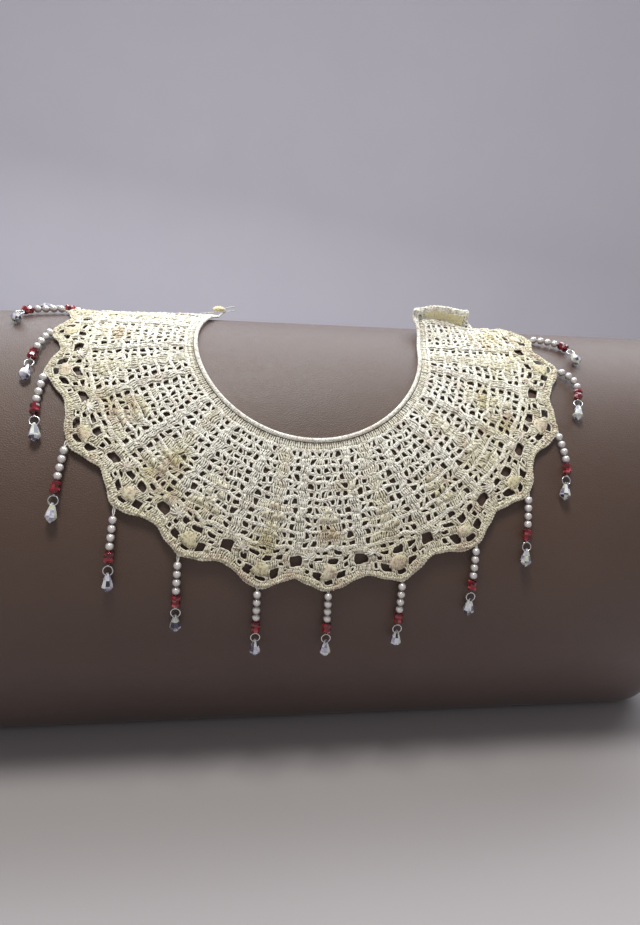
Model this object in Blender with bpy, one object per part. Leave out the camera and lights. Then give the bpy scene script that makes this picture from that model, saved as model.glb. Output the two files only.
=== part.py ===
"""Crochet cloud collar with bead dangles, laid over a sofa back cushion.

The collar is worked flat, as an open ring of lace, and then draped. A place on the flat ring is
(side, rise): side is the distance to the right of the middle line, and rise is the length measured
up the cushion's front from its foremost line. The cushion bends only in side view, so the lace
lies on it without stretching: side stays X, and rise follows the cushion's outline.
Units are metres, +Z is up, and the collar faces -Y.
"""

import math

import bmesh
import bpy
import numpy as np
from mathutils import Matrix, Vector

# Cushion, seen from the side: how fast its front leans back with the rise, in radians per metre
LEAN_LINEAR = 6.97
LEAN_SQUARE = -27.7
LEAN_CUBE = 87.4
TOP_BEND_START = 0.20
TOP_BEND_LIMIT = 11.5
OUTLINE_STEP = 0.001
OUTLINE_LENGTH = 0.50
# Cushion, the rest of its outline and its ends
BULGE_HEIGHT = 0.158
LOWER_FRONT_LEAN = math.radians(30)
BASE_CORNER_RADIUS = 0.022
CUSHION_WIDTH = 0.74
CUSHION_END_ROUND = 0.050
END_ROUND_STEPS = 5
LOWER_STEPS = 3
CORNER_STEPS = 3
OVER_STEPS = 26
# The foremost line of the cushion lies this far in front of the middle of the whole object
BULGE_Y = -0.1180

# Collar, flat
SCALLOPS = 15
SCALLOP_DEG = 16.0
LEFT_END_DEG = -125.2
NECK_RADIUS = 0.092
VALLEY_RADIUS = 0.1985
TIP_RADIUS = 0.2087
COLLAR_CENTRE_RISE = 0.2208
NECK_DRIFT = 0.004
NECK_DRIFT_DEG = -35.0
SCALLOP_ROUNDNESS = 0.6
SEAM_GAP = 0.0004

# Collar, thickness and height over the cushion
CLOTH_LIFT = 0.0007
EDGE_FLARE = 0.0022
EDGE_FLARE_FROM = 0.165
EDGE_FLARE_TO = 0.208
FLARE_FADES = (0.18, 0.25)
MESH_THICK = 0.0020
BORDER_THICK = 0.0022
BAND_RADIUS = 0.0025
BAND_STEPS = 6
# Past the left corner the neckband runs on as a thin strand that rises to the button
STRAND_RADIUS = 0.0009
STRAND_SCALLOPS = 0.22
STRAND_RISE = 0.0032
STRAND_STEPS = 3
TAPER_SCALLOPS = 0.8
# Each free end curls up at the neck: height at the corner, and how many scallops it takes
RIGHT_CURL = (0.0118, 1.5)
LEFT_CURL = (0.0015, 1.6)
CURL_INNER_RADIUS = 0.105
CURL_OUTER_RADIUS = 0.165
# The right free end also stands up as a roll: where it starts, how it bends and where it fades out
ROLL_START = 14.5
ROLL_BEND_LENGTH = 0.009
ROLL_LEAN = math.radians(105)
ROLL_FADES = (0.147, 0.172)
# The neck edge is drawn out towards the roll: how far at the corner, and over how many scallops
END_DRAW = (0.011, 2.0)
SLOPE_STEP = 0.0004

# One scallop, as degrees from its left valley to its right one, and what each line is
RIB, RIB_SIDE, PLAIN, PUFF_SIDE, TIP = range(5)
YOKE_LINES = ((0.0, RIB), (1.1, RIB_SIDE), (2.7, PLAIN), (8.0, TIP), (13.3, PLAIN), (14.9, RIB_SIDE))
YOKE_GAP_COLUMNS = (1, 4)
# Extra lines where the right end rolls up, in the strip of this number
ROLL_LINES = (3.8, 4.9, 6.4)
ROLL_STRIP = 2
BORDER_LINES = (
    (0.0, RIB), (1.1, RIB_SIDE), (2.9, PLAIN), (4.4, PLAIN), (6.6, PUFF_SIDE),
    (8.0, TIP), (9.4, PUFF_SIDE), (11.6, PLAIN), (12.6, PLAIN), (14.9, RIB_SIDE),
)
# Rows of the yoke by radius: four plain rows, then gap rows with a bar after each
YOKE_START = 0.0951
YOKE_END = 0.1760
YOKE_PLAIN_ROWS = 4
YOKE_GAPS_START = 0.1470
YOKE_GAP_HEIGHT = 0.0044
YOKE_ROW_PITCH = 0.0065
YOKE_GAP_ROWS = 4
# Rows of the border: share of the way to its edge, raised height, and the columns cut out above it
BORDER_ROWS = (
    (0.00, 0.0000, ()),
    (0.10, 0.0002, (1, 3, 6, 8)),
    (0.36, 0.0004, (8,)),
    (0.44, 0.0006, (3, 6)),
    (0.68, 0.0006, ()),
    (0.76, 0.0010, ()),
    (0.88, 0.0016, ()),
    (1.00, 0.0006, ()),
)
RIB_HEIGHT = 0.0014
RIB_SIDE_HEIGHT = 0.0007
PUFF_HEIGHT = 0.0030
PUFF_SIDE_HEIGHT = 0.0012
PUFF_ROWS = (0.36, 0.68)
RIB_ENDS_AT = 0.60

# Dangle: sizes along its string
DANGLE_LIFT = 0.0046
LIFT_EASE = 0.006
THREAD_RADIUS = 0.0006
PEARLS = 4
PEARL_RADIUS = 0.0032
RED_BEAD_RADIUS = 0.0036
RED_BEAD_LENGTH = 0.0076
SEED_RADIUS = 0.0011
SEED_LENGTH = 0.0016
RING_LENGTH = 0.0062
CRYSTAL_LENGTH = 0.0130
CRYSTAL_RADIUS = 0.0042
HOLE_SHARE = 0.42
TURN_SPREAD = 0.5
TIP_CLEARANCE = 0.0006
ROUTE_STEP = 0.001

# Button at the left neck corner and thread loop behind the right one
BUTTON_LENGTH = 0.0105
BUTTON_THICK = 0.0054
BUTTON_SIDES = 10
BUTTON_RINGS = 6
BUTTON_SHIFT = 0.0035
BUTTON_SINK = 0.0008
LOOP_RADIUS = 0.0048
LOOP_THREAD = 0.0007
LOOP_HALF_TURN = math.radians(150)
LOOP_STEPS = 15
LOOP_SETBACK = 0.0075
LOOP_SINK = 0.0007
LOOP_LEAN = 1.8

# One row for each scallop tip and the dangle that hangs from it, left to right. Headings are the
# string's direction on the flat pattern, in degrees from straight down, at its start and its end,
# and turn is the share of its length at which it swings from one to the other.
DANGLE_COLUMNS = ("tip_deg", "reach", "thread", "heading_start", "heading_end", "turn")
DANGLE_ROWS = (
    (-117.0, 0.2060, 0.0020, -40, -85, 0.60),
    (-102.5, 0.2050, 0.0020, -74, 10, 0.62),
    (-90.0, 0.2030, 0.0010, -20, -8, 0.45),
    (-77.5, 0.2060, 0.0025, -8, 6, 0.50),
    (-61.0, 0.2070, 0.0030, -10, -6, 0.50),
    (-45.2, 0.2060, 0.0060, -6, -3, 0.50),
    (-29.7, 0.2055, 0.0045, -3, -1, 0.50),
    (-12.5, 0.2080, 0.0020, -1, 0, 0.50),
    (2.1, 0.2065, 0.0010, 1, 0, 0.50),
    (17.8, 0.2085, 0.0020, -1, -1, 0.50),
    (34.8, 0.2110, 0.0010, -3, -2, 0.50),
    (50.5, 0.2110, 0.0015, -3, -2, 0.50),
    (66.2, 0.2100, 0.0010, 12, -10, 0.45),
    (82.9, 0.2075, 0.0010, 58, -14, 0.30),
    (95.5, 0.1970, 0.0010, 70, 4, 0.56),
    (113.5, 0.2050, 0.0020, 165, 178, 0.50),
)
DANGLES = [dict(zip(DANGLE_COLUMNS, row)) for row in DANGLE_ROWS]


def smooth(value):
    """Ease from 0 to 1 with no corner at either end."""
    t = min(max(value, 0.0), 1.0)
    return t * t * (3.0 - 2.0 * t)


def cushion_outline():
    """Lean, depth and height of the cushion against the rise, from its foremost line over the top."""
    rise = np.arange(0.0, OUTLINE_LENGTH, OUTLINE_STEP)
    bend = LEAN_LINEAR + 2 * LEAN_SQUARE * rise + 3 * LEAN_CUBE * rise ** 2
    bend = np.where(rise > TOP_BEND_START, np.minimum(bend, TOP_BEND_LIMIT), bend)
    lean = np.concatenate([[0.0], np.cumsum((bend[1:] + bend[:-1]) / 2 * OUTLINE_STEP)])
    lean = np.minimum(lean, math.pi)
    middle = (lean[1:] + lean[:-1]) / 2
    depth = np.concatenate([[0.0], np.cumsum(np.sin(middle) * OUTLINE_STEP)])
    height = np.concatenate([[0.0], np.cumsum(np.cos(middle) * OUTLINE_STEP)])
    return rise, lean, depth, height


RISE, LEAN, DEPTH, HEIGHT = cushion_outline()


def drape(side, rise, lift):
    """The point that lies at (side, rise), lift above the cushion; below the bulge it hangs plumb."""
    if rise < 0.0:
        return Vector((side, -lift, rise))
    lean = float(np.interp(rise, RISE, LEAN))
    depth = float(np.interp(rise, RISE, DEPTH))
    height = float(np.interp(rise, RISE, HEIGHT))
    return Vector((side, depth - math.cos(lean) * lift, height + math.sin(lean) * lift))


def end_roll(v, radius):
    """How far the right end's roll moves a point along the ring, in scallops, and up, in metres."""
    width = radius * math.radians(SCALLOP_DEG)
    beyond = (v - ROLL_START) * width
    lean = ROLL_LEAN * (1.0 - smooth((radius - ROLL_FADES[0]) / (ROLL_FADES[1] - ROLL_FADES[0])))
    if beyond <= 0.0 or lean <= 0.0:
        return 0.0, 0.0
    bend_radius = ROLL_BEND_LENGTH / lean
    turned = min(beyond, ROLL_BEND_LENGTH) / bend_radius
    straight = max(beyond - ROLL_BEND_LENGTH, 0.0)
    along = bend_radius * math.sin(turned) + straight * math.cos(turned)
    up = bend_radius * (1.0 - math.cos(turned)) + straight * math.sin(turned)
    return (along - beyond) / width, up


def pattern(v, radius):
    """Flat place of a point: v counts scallop tips from the left end, radius is the drawn radius."""
    v = v + end_roll(v, radius)[0]
    share = (radius - NECK_RADIUS) / (TIP_RADIUS - NECK_RADIUS)
    tips = range(SCALLOPS + 1)
    shifts = [d["tip_deg"] - LEFT_END_DEG - SCALLOP_DEG * k for k, d in enumerate(DANGLES)]
    shift = np.interp(v, tips, shifts)
    reach = np.interp(v, tips, [d["reach"] - TIP_RADIUS for d in DANGLES])
    angle = math.radians(LEFT_END_DEG + SCALLOP_DEG * v + shift * share)
    drift = NECK_DRIFT * math.cos(angle - math.radians(NECK_DRIFT_DEG)) * (1.0 - share)
    drift += END_DRAW[0] * smooth(1.0 - (SCALLOPS - v) / END_DRAW[1]) * smooth(1.0 - share)
    length = radius + reach * share + drift
    return length * math.sin(angle), COLLAR_CENTRE_RISE - length * math.cos(angle)


def cloth_lift(v, radius):
    """Height of the cloth's underside over the cushion, with the loose edge and the curled ends."""
    flare = EDGE_FLARE * smooth((radius - EDGE_FLARE_FROM) / (EDGE_FLARE_TO - EDGE_FLARE_FROM))
    flare *= 1.0 - smooth((pattern(v, radius)[1] - FLARE_FADES[0]) / (FLARE_FADES[1] - FLARE_FADES[0]))
    near_neck = smooth((CURL_OUTER_RADIUS - radius) / (CURL_OUTER_RADIUS - CURL_INNER_RADIUS))
    right = RIGHT_CURL[0] * smooth(1.0 - (SCALLOPS - v) / RIGHT_CURL[1])
    left = LEFT_CURL[0] * smooth(1.0 - v / LEFT_CURL[1])
    return CLOTH_LIFT + flare + (right + left) * near_neck + end_roll(v, radius)[1]


def cloth_point(v, radius, height):
    """The point of the draped cloth at (v, radius), height above its underside and square to it."""
    def under(v, radius):
        side, rise = pattern(v, radius)
        return drape(side, rise, cloth_lift(v, radius))

    v_step = SLOPE_STEP / (radius * math.radians(SCALLOP_DEG))
    along = under(v + v_step, radius) - under(v - v_step, radius)
    down = under(v, radius + SLOPE_STEP) - under(v, radius - SLOPE_STEP)
    return under(v, radius) + down.cross(along).normalized() * height


def scallop_edge(v):
    """Drawn radius of the collar's outer edge: a round arch in each valley and at each tip, drawn
    out to a slight point."""
    from_tip = min(2.0 * abs(v - round(v)), 1.0)
    arch = (1.0 + math.cos(math.pi * from_tip)) / 2
    share = SCALLOP_ROUNDNESS * arch + (1.0 - SCALLOP_ROUNDNESS) * (1.0 - from_tip)
    return VALLEY_RADIUS + (TIP_RADIUS - VALLEY_RADIUS) * share


def column_lines(lines, roll_lines=()):
    """All radial lines of a wall as (v, kind, column), column numbering the strip to its right."""
    found = []
    for tip in range(SCALLOPS + 1):
        rows = [(degrees, kind, column) for column, (degrees, kind) in enumerate(lines)]
        if tip == SCALLOPS:
            rows = sorted(rows + [(degrees, PLAIN, ROLL_STRIP) for degrees in roll_lines])
        for degrees, kind, column in rows:
            v = tip + (degrees / SCALLOP_DEG - 0.5)
            if -1e-9 <= v <= SCALLOPS + 1e-9:
                found.append((v, kind, column))
    return found


def material(name, colour, roughness, metallic=0.0):
    """A Principled material."""
    made = bpy.data.materials.new(name)
    made.use_nodes = True
    shader = made.node_tree.nodes["Principled BSDF"]
    shader.inputs["Base Color"].default_value = (*colour, 1.0)
    shader.inputs["Roughness"].default_value = roughness
    shader.inputs["Metallic"].default_value = metallic
    return made


def add_object(name, data, parent, finish):
    """Link an object under the shared parent and give it its material."""
    made = bpy.data.objects.new(name, data)
    bpy.context.collection.objects.link(made)
    made.parent = parent
    data.materials.append(finish)
    return made


def add_mesh(name, bm, parent, finish):
    """Turn a bmesh into an object with outward faces."""
    bmesh.ops.recalc_face_normals(bm, faces=bm.faces)
    mesh = bpy.data.meshes.new(name)
    bm.to_mesh(mesh)
    bm.free()
    return add_object(name, mesh, parent, finish)


def lace_wall(name, columns, radii, is_gap, thickness, parent, finish):
    """A draped wall with its gaps left open, made from the flat sheet by one extrusion."""
    bm = bmesh.new()
    place = bm.verts.layers.int.new("place")
    outer = []
    grid = []
    for v, kind, _ in columns:
        line = []
        for row, radius in enumerate(radii(v)):
            vert = bm.verts.new(cloth_point(v, radius, 0.0))
            vert[place] = len(outer)
            outer.append(cloth_point(v, radius, thickness(kind, row)))
            line.append(vert)
        grid.append(line)
    for i in range(len(columns) - 1):
        for row in range(len(grid[i]) - 1):
            if not is_gap(columns[i][2], row):
                bm.faces.new((grid[i][row], grid[i + 1][row], grid[i + 1][row + 1], grid[i][row + 1]))
    raised = bmesh.ops.extrude_face_region(bm, geom=bm.faces[:])
    for item in raised["geom"]:
        if isinstance(item, bmesh.types.BMVert):
            item.co = outer[item[place]]
    return add_mesh(name, bm, parent, finish)


def tube(name, points, radii, parent, finish, sides_setting=1):
    """A round tube through the points, with its own radius at each of them."""
    curve = bpy.data.curves.new(name, "CURVE")
    curve.dimensions = "3D"
    curve.bevel_depth = 1.0
    curve.bevel_resolution = sides_setting
    curve.use_fill_caps = True
    spline = curve.splines.new("POLY")
    spline.points.add(len(points) - 1)
    for point, co, radius in zip(spline.points, points, radii):
        point.co = (*co, 1.0)
        point.radius = radius
    return add_object(name, curve, parent, finish)


def arc(centre, radius, lean_from, lean_to, steps):
    """Points of a round stretch of the outline, as (depth, height, lean)."""
    found = []
    for k in range(steps + 1):
        lean = lean_from + (lean_to - lean_from) * k / steps
        found.append((centre[0] - radius * math.cos(lean), centre[1] + radius * math.sin(lean), lean))
    return found


def cushion_loop():
    """The closed outline of the cushion in side view, from below the bulge round under, up and over."""
    front_radius = 1.0 / LEAN_LINEAR
    under = arc((front_radius, 0.0), front_radius, 0.0, -LOWER_FRONT_LEAN, LOWER_STEPS)[1:]
    corner_height = BASE_CORNER_RADIUS - BULGE_HEIGHT
    drop = under[-1][1] - corner_height + BASE_CORNER_RADIUS * math.sin(LOWER_FRONT_LEAN)
    run = drop / math.cos(LOWER_FRONT_LEAN)
    corner_depth = (under[-1][0] + run * math.sin(LOWER_FRONT_LEAN)
                    + BASE_CORNER_RADIUS * math.cos(LOWER_FRONT_LEAN))
    back_depth = float(DEPTH[-1]) - BASE_CORNER_RADIUS
    front_corner = (corner_depth, corner_height)
    back_corner = (back_depth, corner_height)
    loop = under
    loop += arc(front_corner, BASE_CORNER_RADIUS, -LOWER_FRONT_LEAN, -math.pi / 2, CORNER_STEPS)
    loop += arc(back_corner, BASE_CORNER_RADIUS, math.pi * 1.5, math.pi, CORNER_STEPS)
    top_rise = float(RISE[np.argmax(LEAN >= math.pi)])
    for k in range(OVER_STEPS + 1):
        rise = top_rise * (1.0 - k / OVER_STEPS)
        loop.append(tuple(float(np.interp(rise, RISE, values)) for values in (DEPTH, HEIGHT, LEAN)))
    return loop


def cushion(parent, finish):
    """The back cushion: its outline skinned from end to end, with round ends and a flat underside."""
    loop = cushion_loop()
    middle_depth = float(DEPTH[-1]) / 2
    middle_height = (max(height for _, height, _ in loop) - BULGE_HEIGHT) / 2
    straight = CUSHION_WIDTH / 2 - CUSHION_END_ROUND
    stations = []
    for k in range(END_ROUND_STEPS + 1):
        turned = math.pi / 2 * k / END_ROUND_STEPS
        stations.append((straight + CUSHION_END_ROUND * math.sin(turned),
                         1.0 - CUSHION_END_ROUND * (1.0 - math.cos(turned)) / middle_depth))
    bm = bmesh.new()
    rings = []
    for x, share in [(-x, share) for x, share in reversed(stations)] + stations:
        rings.append([bm.verts.new((x, middle_depth + (depth - middle_depth) * share,
                                    middle_height + (height - middle_height) * share))
                      for depth, height, _ in loop])
    for here, after in zip(rings, rings[1:]):
        for k in range(len(loop)):
            bm.faces.new((here[k - 1], here[k], after[k], after[k - 1]))
    bm.faces.new(rings[0])
    bm.faces.new(rings[-1])
    return add_mesh("back_cushion", bm, parent, finish)


def band_radius(v):
    """Radius of the neckband, which tapers to a strand at the left corner."""
    return STRAND_RADIUS + (BAND_RADIUS - STRAND_RADIUS) * smooth(v / TAPER_SCALLOPS)


def band_point(v):
    """The neckband's middle line: beside the yoke, and rising past the left corner, where v < 0."""
    radius = band_radius(v)
    past = max(-v, 0.0) / STRAND_SCALLOPS
    side, rise = pattern(v, NECK_RADIUS + BAND_RADIUS - radius)
    if past > 0.0:
        return drape(side, rise, cloth_lift(0.0, NECK_RADIUS) + radius + STRAND_RISE * past)
    return cloth_point(v, NECK_RADIUS + BAND_RADIUS - radius, radius)


def neckband(parent, finish):
    """The dense round cord along the neck edge, and its thin strand past the left corner."""
    places = [-STRAND_SCALLOPS * (1.0 - k / STRAND_STEPS) for k in range(STRAND_STEPS)]
    places += [k / BAND_STEPS for k in range(BAND_STEPS * SCALLOPS + 1)]
    points = [band_point(v) for v in places]
    return tube("neckband", points, [band_radius(v) for v in places], parent, finish)


def mesh_yoke(parent, finish):
    """The wide lace ring, with square gaps beside each raised rib."""
    plain_pitch = (YOKE_GAPS_START - YOKE_START) / YOKE_PLAIN_ROWS
    radii = [YOKE_START + plain_pitch * k for k in range(YOKE_PLAIN_ROWS)]
    for k in range(YOKE_GAP_ROWS):
        radii.append(YOKE_GAPS_START + YOKE_ROW_PITCH * k)
        radii.append(radii[-1] + YOKE_GAP_HEIGHT)
    radii.append(YOKE_END)
    gap_rows = range(YOKE_PLAIN_ROWS, YOKE_PLAIN_ROWS + 2 * YOKE_GAP_ROWS, 2)
    raised = {RIB: RIB_HEIGHT, RIB_SIDE: RIB_SIDE_HEIGHT}
    return lace_wall(
        "mesh_yoke", column_lines(YOKE_LINES, ROLL_LINES), lambda v: radii,
        lambda column, row: column in YOKE_GAP_COLUMNS and row in gap_rows,
        lambda kind, row: MESH_THICK + raised.get(kind, 0.0), parent, finish)


def scallop_border(parent, finish):
    """The scalloped rim, with its gaps cut through and its ribs, puffs and edge cord raised."""
    start = YOKE_END + SEAM_GAP

    def radii(v):
        return [start + share * (scallop_edge(v) - start) for share, _, _ in BORDER_ROWS]

    def thickness(kind, row):
        share, raised, _ = BORDER_ROWS[row]
        if PUFF_ROWS[0] <= share <= PUFF_ROWS[1]:
            raised += {TIP: PUFF_HEIGHT, PUFF_SIDE: PUFF_SIDE_HEIGHT}.get(kind, 0.0)
        if share < RIB_ENDS_AT:
            raised += {RIB: RIB_HEIGHT, RIB_SIDE: RIB_SIDE_HEIGHT}.get(kind, 0.0)
        return BORDER_THICK + raised

    return lace_wall(
        "scallop_border", column_lines(BORDER_LINES), radii,
        lambda column, row: column in BORDER_ROWS[row][2], thickness, parent, finish)


def dangle_outline(thread):
    """Radius of a bead string against the length along it: thread, pearls, red bead, ring, drop."""
    outline = [(0.0, THREAD_RADIUS), (thread, THREAD_RADIUS)]
    place = thread
    beads = [(2 * PEARL_RADIUS, PEARL_RADIUS)] * PEARLS
    beads += [(RED_BEAD_LENGTH, RED_BEAD_RADIUS), (SEED_LENGTH, SEED_RADIUS)]
    for length, radius in beads:
        outline.append((place + length / 2, radius))
        outline.append((place + length, max(radius * HOLE_SHARE, THREAD_RADIUS)))
        place += length
    place += RING_LENGTH
    outline.append((place, THREAD_RADIUS))
    for share, width in ((0.45, 0.80), (0.72, 1.0), (1.0, 0.25)):
        outline.append((place + share * CRYSTAL_LENGTH, width * CRYSTAL_RADIUS))
    return outline


def dangle_route(v, dangle, length):
    """Places of the string every millimetre, from just off the scallop's tip."""
    side, rise = pattern(v, TIP_RADIUS)
    tip_angle = math.radians(dangle["tip_deg"])
    side += math.sin(tip_angle) * TIP_CLEARANCE
    rise -= math.cos(tip_angle) * TIP_CLEARANCE
    start_lift = cloth_lift(v, TIP_RADIUS) + BORDER_THICK / 2 + THREAD_RADIUS
    points = [drape(side, rise, start_lift)]
    steps = math.ceil(length / ROUTE_STEP)
    for k in range(steps):
        blend = smooth(((k + 0.5) / steps - dangle["turn"]) / TURN_SPREAD + 0.5)
        heading = math.radians(dangle["heading_start"] * (1.0 - blend) + dangle["heading_end"] * blend)
        side += math.sin(heading) * length / steps
        rise -= math.cos(heading) * length / steps
        eased = smooth((k + 1) / steps * length / LIFT_EASE)
        points.append(drape(side, rise, start_lift + (DANGLE_LIFT - start_lift) * eased))
    return points


def dangle(index, parent, finish):
    """One bead string as a single plain solid along its route."""
    row = DANGLES[index]
    outline = dangle_outline(row["thread"])
    length = outline[-1][0]
    route = dangle_route(float(index), row, length)
    points = []
    for along, _ in outline:
        place = along / length * (len(route) - 1)
        k = min(int(place), len(route) - 2)
        points.append(route[k].lerp(route[k + 1], place - k))
    return tube(f"dangle_{index:02d}", points, [radius for _, radius in outline], parent, finish)


def neck_button(parent, finish):
    """The small crocheted knob that lies over the end of the neckband's strand."""
    bm = bmesh.new()
    bmesh.ops.create_uvsphere(bm, u_segments=BUTTON_SIDES, v_segments=BUTTON_RINGS, radius=0.5)
    top = band_point(-STRAND_SCALLOPS)
    height = STRAND_RADIUS + SEAM_GAP + BUTTON_THICK / 2 - BUTTON_SINK
    centre = top + Vector((-BUTTON_SHIFT, 0.0, height))
    size = Matrix.Diagonal((BUTTON_LENGTH, BUTTON_THICK, BUTTON_THICK, 1.0))
    bmesh.ops.transform(bm, matrix=Matrix.Translation(centre) @ size, verts=bm.verts)
    return add_mesh("neck_button", bm, parent, finish)


def neck_loop(parent, finish):
    """The thread loop behind the right end of the neckband, open at its root like a hairpin."""
    last = float(SCALLOPS)
    end = band_point(last)
    across = (end - band_point(last - SLOPE_STEP)).normalized()
    back = (cloth_point(last, NECK_RADIUS, 0.0) - end).normalized()
    away = (back + back.cross(across) * LOOP_LEAN).normalized()
    root = end - across * LOOP_SETBACK + back * (BAND_RADIUS + SEAM_GAP + LOOP_THREAD - LOOP_SINK)
    middle = root - away * LOOP_RADIUS * math.cos(LOOP_HALF_TURN)
    points = []
    for k in range(LOOP_STEPS + 1):
        turn = LOOP_HALF_TURN * (2.0 * k / LOOP_STEPS - 1.0)
        points.append(middle + LOOP_RADIUS * (away * math.cos(turn) + across * math.sin(turn)))
    return tube("neck_loop", points, [LOOP_THREAD] * len(points), parent, finish)


def main():
    """Clear the scene and build every piece under one empty at the cushion's foremost line."""
    for old in list(bpy.data.objects):
        bpy.data.objects.remove(old)
    root = bpy.data.objects.new("collar_place", None)
    root.location = (0.0, BULGE_Y, BULGE_HEIGHT)
    bpy.context.collection.objects.link(root)
    cotton = (0.83, 0.80, 0.71)
    cushion(root, material("cushion_leather", (0.20, 0.165, 0.15), 0.45))
    neckband(root, material("neckband_cotton", (0.88, 0.86, 0.79), 0.85))
    mesh_yoke(root, material("yoke_cotton", cotton, 0.9))
    scallop_border(root, material("border_cotton", (0.82, 0.77, 0.65), 0.9))
    neck_button(root, material("button_cotton", (0.80, 0.77, 0.58), 0.85))
    neck_loop(root, material("loop_thread", (0.86, 0.85, 0.80), 0.8))
    beads = material("dangle_beads", (0.72, 0.62, 0.58), 0.25)
    for index in range(len(DANGLES)):
        dangle(index, root, beads)


main()
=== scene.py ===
"""Looks of the crochet cloud collar and of the back cushion that it lies on.

Every stitch is placed on the flat collar by two numbers: v, which counts scallop tips from the left
end, and a radius. The flat place is then draped over the cushion as in the part's own source, and a
height above the cloth's underside is added. Units are metres.
"""

import logging
import math
from dataclasses import dataclass, field
from enum import Enum
from typing import Any, Sequence

import bpy
import numpy as np
from mathutils import Matrix, Vector


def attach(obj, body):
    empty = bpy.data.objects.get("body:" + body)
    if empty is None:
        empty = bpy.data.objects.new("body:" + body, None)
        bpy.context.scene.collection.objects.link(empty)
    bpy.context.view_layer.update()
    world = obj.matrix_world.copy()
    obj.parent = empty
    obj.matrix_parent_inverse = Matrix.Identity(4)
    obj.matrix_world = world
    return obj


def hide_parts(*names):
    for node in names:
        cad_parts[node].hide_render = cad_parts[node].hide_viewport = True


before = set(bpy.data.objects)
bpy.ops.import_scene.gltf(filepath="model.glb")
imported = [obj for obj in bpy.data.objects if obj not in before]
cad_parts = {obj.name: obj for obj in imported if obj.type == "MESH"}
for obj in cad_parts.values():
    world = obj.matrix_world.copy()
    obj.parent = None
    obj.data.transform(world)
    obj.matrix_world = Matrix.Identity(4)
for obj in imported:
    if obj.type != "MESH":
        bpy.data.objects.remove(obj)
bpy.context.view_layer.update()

LOG = logging.getLogger("cloud_collar")
ROOT = "root"
SEED = 15

Array = np.ndarray
Point = tuple[float, float, float]
Colour = tuple[float, float, float]
Pair = tuple[float, float]


def smooth(value: Array | float) -> Array:
    """Ease from 0 to 1 with no corner at either end."""
    t = np.clip(value, 0.0, 1.0)
    return t * t * (3.0 - 2.0 * t)


def ease(value: Array | float, start: float, end: float) -> Array:
    """Ease from 0 at start to 1 at end."""
    return smooth((value - start) / (end - start))


def unit(vectors: Array) -> Array:
    """Vectors of length 1 in the same directions."""
    return vectors / np.maximum(np.linalg.norm(vectors, axis=-1, keepdims=True), 1e-12)


def quads(near: Array, far: Array) -> Array:
    """Faces from closed rings of point numbers to the rings beside them."""
    near_after, far_after = np.roll(near, -1, axis=-1), np.roll(far, -1, axis=-1)
    return np.stack([near, far, far_after, near_after], axis=-1).reshape(-1, 4)


class Yarn(Enum):
    """How far a stitch leans to the warm side of the cotton."""

    WHITE = 0.0
    FREE_END = 0.03
    THREAD = 0.05
    CREAM = 0.3
    KNOB = 0.85
    KNOB_CORE = 0.9
    # Painted yellow light on the rolled end's face, where it lies in shade and light comes through the
    # cotton.
    ROLL_PAINTED_YELLOW_LIGHT = 0.95


class Work(Enum):
    """How a cell of the yoke is worked."""

    RIB = "rib"
    OPEN = "open"
    MESH = "mesh"
    CORE = "core"
    NONE = "none"


@dataclass(frozen=True)
class Dangle:
    """Where one bead string hangs.

    Headings are the string's direction on the flat pattern, in degrees from straight down.
    """

    tip_deg: float
    reach: float
    thread: float
    heading_start: float
    heading_end: float
    turn: float


DANGLES = tuple(Dangle(*row) for row in (
    (-117.0, 0.2060, 0.0020, -40, -85, 0.60),
    (-102.5, 0.2050, 0.0020, -74, 10, 0.62),
    (-90.0, 0.2030, 0.0010, -20, -8, 0.45),
    (-77.5, 0.2060, 0.0025, -8, 6, 0.50),
    (-61.0, 0.2070, 0.0030, -10, -6, 0.50),
    (-45.2, 0.2060, 0.0060, -6, -3, 0.50),
    (-29.7, 0.2055, 0.0045, -3, -1, 0.50),
    (-12.5, 0.2080, 0.0020, -1, 0, 0.50),
    (2.1, 0.2065, 0.0010, 1, 0, 0.50),
    (17.8, 0.2085, 0.0020, -1, -1, 0.50),
    (34.8, 0.2110, 0.0010, -3, -2, 0.50),
    (50.5, 0.2110, 0.0015, -3, -2, 0.50),
    (66.2, 0.2100, 0.0010, 12, -10, 0.45),
    (82.9, 0.2075, 0.0010, 58, -14, 0.30),
    (95.5, 0.1970, 0.0010, 70, 4, 0.56),
    (113.5, 0.2050, 0.0020, 165, 178, 0.50),
))


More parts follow.
